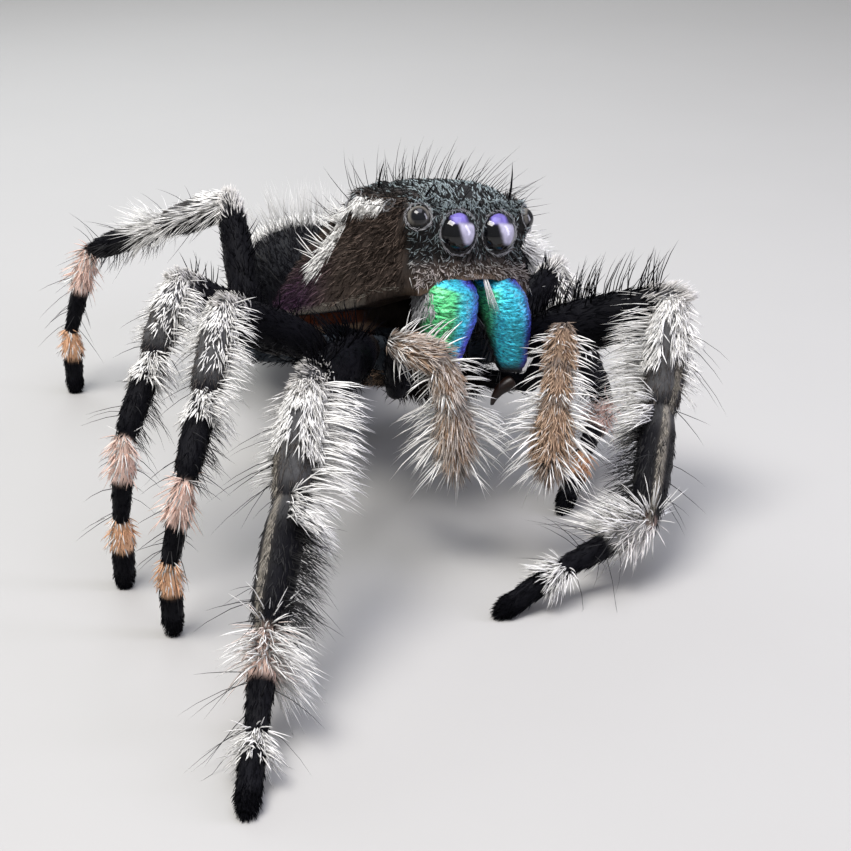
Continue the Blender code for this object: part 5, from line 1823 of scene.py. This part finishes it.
def fang_mesh(name, side):
    """One curved fang, folded in under its chelicera."""
    rings = []
    turns = np.radians(np.arange(28) * 360.0 / 28)
    for share in np.linspace(0.0, 1.0, 26):
        bend = math.radians(20 + 75 * share)
        left = sum(CHELICERA_SIDES[side][:2]) + side * (FANG_ASIDE - FANG_SWING * math.sin(bend))
        up = CHELICERA_BOTTOM - 0.18 - FANG_DROP * (1 - math.cos(bend)) - 0.1 * share
        radius = FANG_RADIUS * (1 - 0.78 * share ** 1.2)
        across = unit(LEFT * (side * math.cos(bend) * -1) - UP * math.sin(bend))
        tall = np.cross(across, FORWARD)
        centre = head(-0.36 - 0.2 * share, left, up)
        ahead = FORWARD * np.cos(turns)[:, None] * radius
        rings.append(centre + ahead + tall * np.sin(turns)[:, None] * radius)
    shape = Shape()
    shape.loft(rings)
    return shape.mesh(name)


def fang_material(name):
    """Glossy dark brown shell, redder in patches."""
    made, tree, shader = new_material(name)
    patches = tree.cells(object_place(tree), 5000.0, 3.0)
    share = tree.span(patches, 0.3, 0.7, 0.0, 1.0)
    tone = tree.mix(share, (0.006, 0.003, 0.002, 1.0), (0.020, 0.007, 0.004, 1.0))
    tree.link(tone, shader.inputs["Base Color"])
    tree.link(tree.span(patches, 0.3, 0.7, 0.30, 0.44), shader.inputs["Roughness"])
    return made


class SPIDER_OT_body_skin(bpy.types.Operator):
    """Grow one skin over the underbody, legs, palps, waist, abdomen and spinnerets"""
    bl_idname = "spider.body_skin"
    bl_label = "Body Skin"

    def execute(self, context):
        settings = context.scene.spider_skin
        inset = skin_depth()
        shape = Shape()
        for limb in list(LEGS.values()) + list(PALP_LIMBS.values()):
            for segment in limb.values():
                shape.loft(limb_rings(segment, inset))
        for segment in [waist_segment()] + spinnerets():
            shape.loft(limb_rings(segment, 0.0, 16, 0.06))
        for rings in body_rings(inset):
            shape.loft(rings)
        turns = np.arange(72) * 5.0
        shares = 0.5 - 0.5 * np.cos(np.linspace(0.06, math.pi - 0.06, 80))
        shape.loft([ABDOMEN.surface(np.full(72, share), turns, inset)[0] for share in shares])
        mesh, points = remesh(shape, "spider_skin", settings.grain / MM, settings.smoothing)
        points[:, 2] = np.maximum(points[:, 2], 0.003)
        rows, grain = paint_skin(points)
        mesh.vertices.foreach_set("co", (points * MM).ravel())
        add_marking(mesh, rows)
        add_grain(mesh, grain)
        mesh.update()
        nodes = node_names("leg_", "palp_", "abdomen", "waist", "underbody", "spinnerets")
        shell = skin_material("shell of the body", 0.36, 9.0, 0.00003)
        finish_piece("spider_skin", mesh, shell, "black_hair", *nodes)
        return {"FINISHED"}


class SPIDER_OT_carapace(bpy.types.Operator):
    """Make the carapace with its eye rims"""
    bl_idname = "spider.carapace"
    bl_label = "Carapace"

    def execute(self, context):
        shape, points = carapace_mesh()
        mesh = shape.mesh("carapace_shell")
        forward, left, up = to_head(points)
        rim = CARAPACE_PROFILE(forward)[1]
        turn = np.degrees(np.arctan2(np.maximum(up - rim, 0.0), left))
        rows = carapace_colours(forward, turn)
        reach = np.abs(left) / carapace_section(forward)[2]
        edge = smoothstep(0.045, 0.015, up - rim) * smoothstep(0.97, 0.99, reach)
        rows = blend(rows, colour("black"), smoothstep(0.03, 0.0, up - rim) * smoothstep(0.985, 0.96, reach))
        rows = blend(rows, colour("rim_and_sheen") * 0.8, edge)
        face = smoothstep(-0.30, -0.05, forward + FACE_CURVE * left ** 2)
        rows = blend(rows, colour("grey") * 0.13, 0.8 * face)
        over_edge = up - clypeus_edge(left)
        rows = blend(rows, colour("brown") * 1.1, smoothstep(0.5, 0.25, over_edge) * face)
        rows = blend(rows, colour("tan") * 0.16, smoothstep(0.10, 0.03, over_edge) * face)
        add_marking(mesh, rows)
        add_grain(mesh, np.stack((up, forward, left), 1))
        finish_piece("carapace_shell", mesh, skin_material("shell of the carapace", 0.44, 7.0, 0.00004, 0.1),
                     "dark_shell", "carapace")
        return {"FINISHED"}


class SPIDER_OT_eyes(bpy.types.Operator):
    """Make the eight polished eyes"""
    bl_idname = "spider.eyes"
    bl_label = "Eyes"

    def execute(self, context):
        front = eye_material("front eye", 0.02)
        small = eye_material("small eye", 0.10)
        for eye in ALL_EYES:
            big = eye.kind == "eye_front_middle"
            node = eye.kind + ("_left" if eye.side == 1 else "_right")
            columns = 72 if big else 48
            mesh = ball_mesh(node + "_lens", eye, columns, columns // 2)
            finish_piece(node + "_lens", mesh, front if big else small, "eye", node)
        return {"FINISHED"}


class SPIDER_OT_chelicerae(bpy.types.Operator):
    """Make the metallic chelicerae and their fangs"""
    bl_idname = "spider.chelicerae"
    bl_label = "Chelicerae"

    def execute(self, context):
        shell = chelicera_material("metallic shell")
        horn = fang_material("fang horn")
        for word, side in (("left", 1), ("right", -1)):
            name = "chelicera_" + word
            mesh = chelicera_mesh(name + "_shell", side)
            finish_piece(name + "_shell", mesh, shell, "green_blue_shell", name)
            name = "fang_" + word
            finish_piece(name + "_horn", fang_mesh(name + "_horn", side), horn, "fang", name)
        return {"FINISHED"}


class SPIDER_OT_leg_coats(bpy.types.Operator):
    """Grow the hair of the eight legs"""
    bl_idname = "spider.leg_coats"
    bl_label = "Leg Coats"

    def execute(self, context):
        for seed, name in enumerate(LEGS):
            dress_leg(name, 100 + seed)
        return {"FINISHED"}


class SPIDER_OT_palp_coats(bpy.types.Operator):
    """Grow the hair of the two palps"""
    bl_idname = "spider.palp_coats"
    bl_label = "Palp Coats"

    def execute(self, context):
        for seed, name in enumerate(PALP_LIMBS):
            dress_palp(name, 200 + seed)
        return {"FINISHED"}


class SPIDER_OT_head_coats(bpy.types.Operator):
    """Grow the velvet, scales, bristles and white bands of the head"""
    bl_idname = "spider.head_coats"
    bl_label = "Head Coats"

    def execute(self, context):
        dress_head_sides(300)
        dress_head_top(301)
        dress_side_tufts(302)
        dress_face(303)
        return {"FINISHED"}


class SPIDER_OT_under_coat(bpy.types.Operator):
    """Grow the short hair of the underbody and the coxae"""
    bl_idname = "spider.under_coat"
    bl_label = "Under Coat"

    def execute(self, context):
        dress_under(350)
        return {"FINISHED"}


class SPIDER_OT_abdomen_coat(bpy.types.Operator):
    """Grow the hair of the abdomen"""
    bl_idname = "spider.abdomen_coat"
    bl_label = "Abdomen Coat"

    def execute(self, context):
        dress_abdomen(400)
        return {"FINISHED"}


# Lights: place from the face to the right, up, towards the camera and in height, size, power
# against the key light's, and tint
STUDIO_LIGHTS = (
    ("key", (-22, 0, 22, 60), (44, 30), 1.0, (1.0, 0.97, 0.93)),
    ("side", (50, 10, 12, 0), (14, 44), 0.22, (0.86, 0.84, 1.0)),
    ("top", (8, 0, 0, 48), (40, 30), 0.16, (0.84, 0.86, 1.0)),
    ("rim", (-20, 0, -40, 40), (34, 18), 0.10, (0.92, 0.97, 1.0)),
)


def view_axes():
    """Back, right and up of the camera."""
    rise = math.radians(VIEW_RISE)
    turn = math.radians(VIEW_TURN)
    back = vector(math.sin(turn) * math.cos(rise), -math.cos(turn) * math.cos(rise), math.sin(rise))
    right = vector(math.cos(turn), math.sin(turn), 0.0)
    return back, right, np.cross(back, right)


def add_area_light(name, place, target, size, power, tint):
    """A soft square light that looks at a point, in millimetres."""
    data = bpy.data.lights.new(name, "AREA")
    data.shape = "RECTANGLE"
    data.size, data.size_y = size[0] * MM, size[1] * MM
    data.energy = power
    data.color = tint
    light = bpy.data.objects.new(name, data)
    light.location = Vector(place) * MM
    light.visible_camera = False
    light.rotation_euler = (Vector(place) - Vector(target)).to_track_quat("Z", "Y").to_euler()
    bpy.context.scene.collection.objects.link(light)
    return light


class SPIDER_OT_stage(bpy.types.Operator):
    """Lay the floor, hang the lights and set the camera"""
    bl_idname = "spider.stage"
    bl_label = "Stage"

    def execute(self, context):
        settings = context.scene.spider_stage
        half = settings.floor_size / 2
        floor_mesh = bpy.data.meshes.new("floor")
        corners = [(-half, -half, 0), (half, -half, 0), (half, half, 0), (-half, half, 0)]
        floor_mesh.from_pydata(corners, [], [(0, 1, 2, 3)])
        floor = bpy.data.objects.new("floor", floor_mesh)
        context.scene.collection.objects.link(floor)
        made, tree, shader = new_material("floor card")
        base = (*settings.floor_colour, 1.0)
        tone = uneven_tone(tree, base, object_place(tree), Scale=220.0, Detail=3.0, Dark=0.985, Light=1.0)[0]
        tree.link(tone, shader.inputs["Base Color"])
        shader.inputs["Roughness"].default_value = 0.75
        floor_mesh.materials.append(made)
        context.scene.view_settings.view_transform = "Standard"
        world = context.scene.world or bpy.data.worlds.new("studio")
        context.scene.world = world
        world.use_nodes = True
        sky = world.node_tree.nodes["Background"]
        sky.inputs["Color"].default_value = (0.94, 0.97, 1.0, 1.0)
        sky.inputs["Strength"].default_value = settings.sky
        back, right, up = view_axes()
        for name, (aside, above, behind, height), size, share, tint in STUDIO_LIGHTS:
            place = FACE + right * aside + up * above + back * behind + vector(0, 0, height)
            add_area_light(name, place, FACE, size, settings.key_power * share, tint)
        camera_data = bpy.data.cameras.new("camera")
        camera_data.angle = 2 * math.atan(PICTURE_WIDTH / 2 / PICTURE_FOCUS)
        camera_data.clip_start = 0.001
        camera_data.clip_end = 10.0
        camera = bpy.data.objects.new("camera", camera_data)
        turn = Matrix((Vector(right), Vector(up), Vector(back))).transposed().to_4x4()
        turn.translation = Vector(FACE + right * VIEW_RIGHT + up * VIEW_UP + back * VIEW_DISTANCE) * MM
        camera.matrix_world = turn
        context.scene.collection.objects.link(camera)
        context.scene.camera = camera
        return {"FINISHED"}


BUILD_ORDER = (
    SPIDER_OT_body_skin,
    SPIDER_OT_carapace,
    SPIDER_OT_eyes,
    SPIDER_OT_chelicerae,
    SPIDER_OT_leg_coats,
    SPIDER_OT_palp_coats,
    SPIDER_OT_head_coats,
    SPIDER_OT_under_coat,
    SPIDER_OT_abdomen_coat,
    SPIDER_OT_stage,
)
SETTINGS = (
    ("spider_skin", SpiderSkinSettings),
    ("spider_coat", SpiderCoatSettings),
    ("spider_colours", SpiderColourSettings),
    ("spider_stage", SpiderStageSettings),
)


class SPIDER_PT_builder(bpy.types.Panel):
    """Settings and building steps of the spider"""
    bl_label = "Jumping Spider"
    bl_idname = "SPIDER_PT_builder"
    bl_space_type = "VIEW_3D"
    bl_region_type = "UI"
    bl_category = "Spider"

    def draw(self, context):
        for name, group in SETTINGS:
            box = self.layout.box()
            for key in group.__annotations__:
                box.prop(getattr(context.scene, name), key)
        for operator in BUILD_ORDER:
            self.layout.operator(operator.bl_idname)


def register():
    for name, group in SETTINGS:
        bpy.utils.register_class(group)
        setattr(bpy.types.Scene, name, bpy.props.PointerProperty(type=group))
    for operator in BUILD_ORDER:
        bpy.utils.register_class(operator)
    bpy.utils.register_class(SPIDER_PT_builder)


def unregister():
    bpy.utils.unregister_class(SPIDER_PT_builder)
    for operator in reversed(BUILD_ORDER):
        bpy.utils.unregister_class(operator)
    for name, group in reversed(SETTINGS):
        delattr(bpy.types.Scene, name)
        bpy.utils.unregister_class(group)


def main():
    """Build the spider and the stage."""
    register()
    bpy.ops.spider.body_skin()
    bpy.ops.spider.carapace()
    bpy.ops.spider.eyes()
    bpy.ops.spider.chelicerae()
    bpy.ops.spider.leg_coats()
    bpy.ops.spider.palp_coats()
    bpy.ops.spider.head_coats()
    bpy.ops.spider.under_coat()
    bpy.ops.spider.abdomen_coat()
    bpy.ops.spider.stage()


if __name__ == "__main__":
    main()
